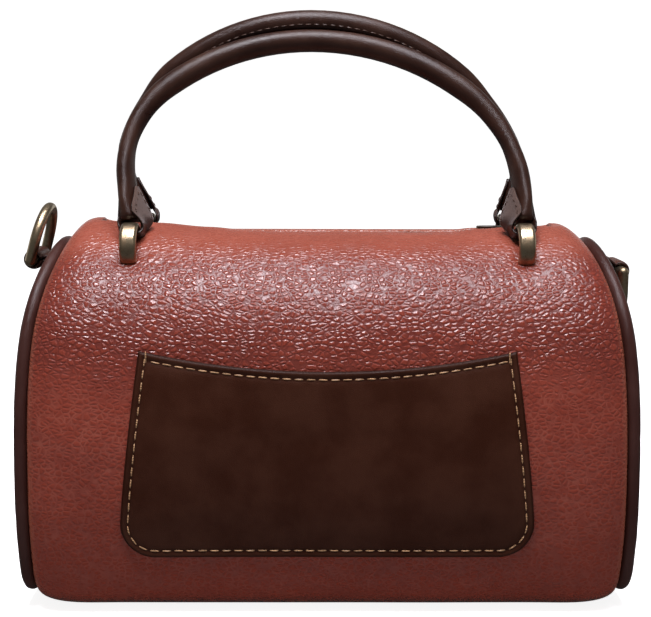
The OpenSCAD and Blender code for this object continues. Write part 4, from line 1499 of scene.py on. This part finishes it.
makeBodyWrap()
makeLining()
for side in (-1, 1):
    makeEndPanel(side)
    makeBinding(side)
    makeStrapTab(side)
print("body ready")
makePocket()
makePocketStitches()
for front in (True, False):
    makeHandle(front)
    makeHandleCore(front)
    makeZipTape(front)
    for side in (-1, 1):
        makeRingAnchor(side, front)
print("pocket, handles and zip ready")


# the metal parts and boards keep their solids; the names start like this
hardware = {
    "brass": ("d_ring", "handle_ring"), "zipMetal": ("zip_teeth", "zip_stops", "zip_slider", "zip_pull"),
    "board": ("base_board", "end_stiffener"),
}


def dressHardware():
    for finish, starts in hardware.items():
        for name, node in frame["nodes"].items():
            if name.startswith(starts):
                node.data.materials.clear()
                node.data.materials.append(finishes[finish])
                for polygon in node.data.polygons:
                    polygon.material_index = 0


dressHardware()
print("hardware ready")


# floor, backdrop and light

studio = {
    "floorSize": 6.0, "wallHeight": 1.6, "corners": 64, "world": 0.15, "worldColour": (1.0, 0.985, 0.965),
    "floorTone": (0.52, 0.85), "wallTone": (0.3, 0.5), "mirroredTone": (0.02, 0.02, 0.02),
    "floorReach": (0.30, 0.80), "floorGlow": (0.88, 1.0), "mirroredFloor": 0.06,
    "wallReach": (-1.2, 2.4), "mirroredWall": (0.12, 0.70),
    "windowLeft": {"x": (-0.25, 0.00), "y": (-0.54, -0.10), "height": 1.10, "power": 14.5},
    "windowRight": {"x": (0.03, 0.34), "y": (-0.62, 0.12), "height": 1.10, "power": 8.0},
    "windowColour": (0.965, 0.935, 1.0),
}


def paper(name, tones, mirroredGlow, seenGlow):
    # pale paper: it throws less light back at the bag than the camera sees in it
    bounced, shown = tones
    finish = newFinish(name, (bounced, bounced, bounced), 0.9, 0.0)
    rays = addNode(finish, "ShaderNodeLightPath")
    seen = rays.outputs["Is Camera Ray"]
    tone = blendColours(finish, seen, (bounced, bounced, bounced), (shown, shown, shown))
    mirrored = calc(finish, "MAXIMUM", rays.outputs["Is Glossy Ray"], rays.outputs["Is Transmission Ray"])
    tone = blendColours(finish, mirrored, tone, studio["mirroredTone"])
    connect(finish, tone, "Base Color")
    shaderInput(finish, "Emission Color").default_value = (1.0, 1.0, 1.0, 1.0)
    strength = calc(finish, "MAXIMUM", scaled(finish, seen, seenGlow(finish)),
                    scaled(finish, mirrored, mirroredGlow(finish)))
    connect(finish, strength, "Emission Strength")
    return finish


def floorGlow(finish):
    # the floor glows more away from the bag, so that only its shadow is seen
    place = addNode(finish, "ShaderNodeTexCoord").outputs["Object"]
    away = addNode(finish, "ShaderNodeVectorMath", [(0, place)], operation="LENGTH").outputs["Value"]
    return remap(finish, away, *studio["floorReach"], *studio["floorGlow"])


def wallMirrored(finish):
    # the bag mirrors a bright wall behind it and a dim room in front of it
    place = addNode(finish, "ShaderNodeTexCoord").outputs["Object"]
    back = addNode(finish, "ShaderNodeSeparateXYZ", [(0, place)]).outputs["Y"]
    return remap(finish, back, *studio["wallReach"], *studio["mirroredWall"])


def floorMirrored(finish):
    return studio["mirroredFloor"]


def fullGlow(finish):
    return 1.0


def makeStage():
    # round floor with a wall round it
    size, count = studio["floorSize"], studio["corners"]
    low = [(size*math.cos(a), size*math.sin(a), 0.0) for a in turnsRound(count)]
    high = [(x, y, studio["wallHeight"]) for x, y, z in low]
    stage = {
        "floor": (low, [tuple(range(count))],
                  paper("floor_paper", studio["floorTone"], floorMirrored, floorGlow)),
        "wall": (low + high, gridFaces(2, count, closedColumns=True),
                 paper("wall_paper", studio["wallTone"], wallMirrored, fullGlow)),
    }
    for name, (points, faces, finish) in stage.items():
        mesh = bpy.data.meshes.new(name)
        mesh.from_pydata(points, [], faces)
        mesh.materials.append(finish)
        piece = bpy.data.objects.new(name, mesh)
        scene.collection.objects.link(piece)


def makeWindow(name, look):
    # a large soft light above the bag
    data = bpy.data.lights.new(name, "AREA")
    data.shape = "RECTANGLE"
    data.size = look["x"][1] - look["x"][0]
    data.size_y = look["y"][1] - look["y"][0]
    data.energy = look["power"]
    data.color = studio["windowColour"]
    light = bpy.data.objects.new(name, data)
    light.location = (sum(look["x"])/2, sum(look["y"])/2, look["height"])
    scene.collection.objects.link(light)


def makeWorld():
    world = bpy.data.worlds.new("studio")
    world.use_nodes = True
    back = world.node_tree.nodes["Background"]
    back.inputs["Color"].default_value = (*studio["worldColour"], 1.0)
    back.inputs["Strength"].default_value = studio["world"]
    scene.world = world


makeStage()
makeWindow("window_left", studio["windowLeft"])
makeWindow("window_right", studio["windowRight"])
makeWorld()
print("studio ready")
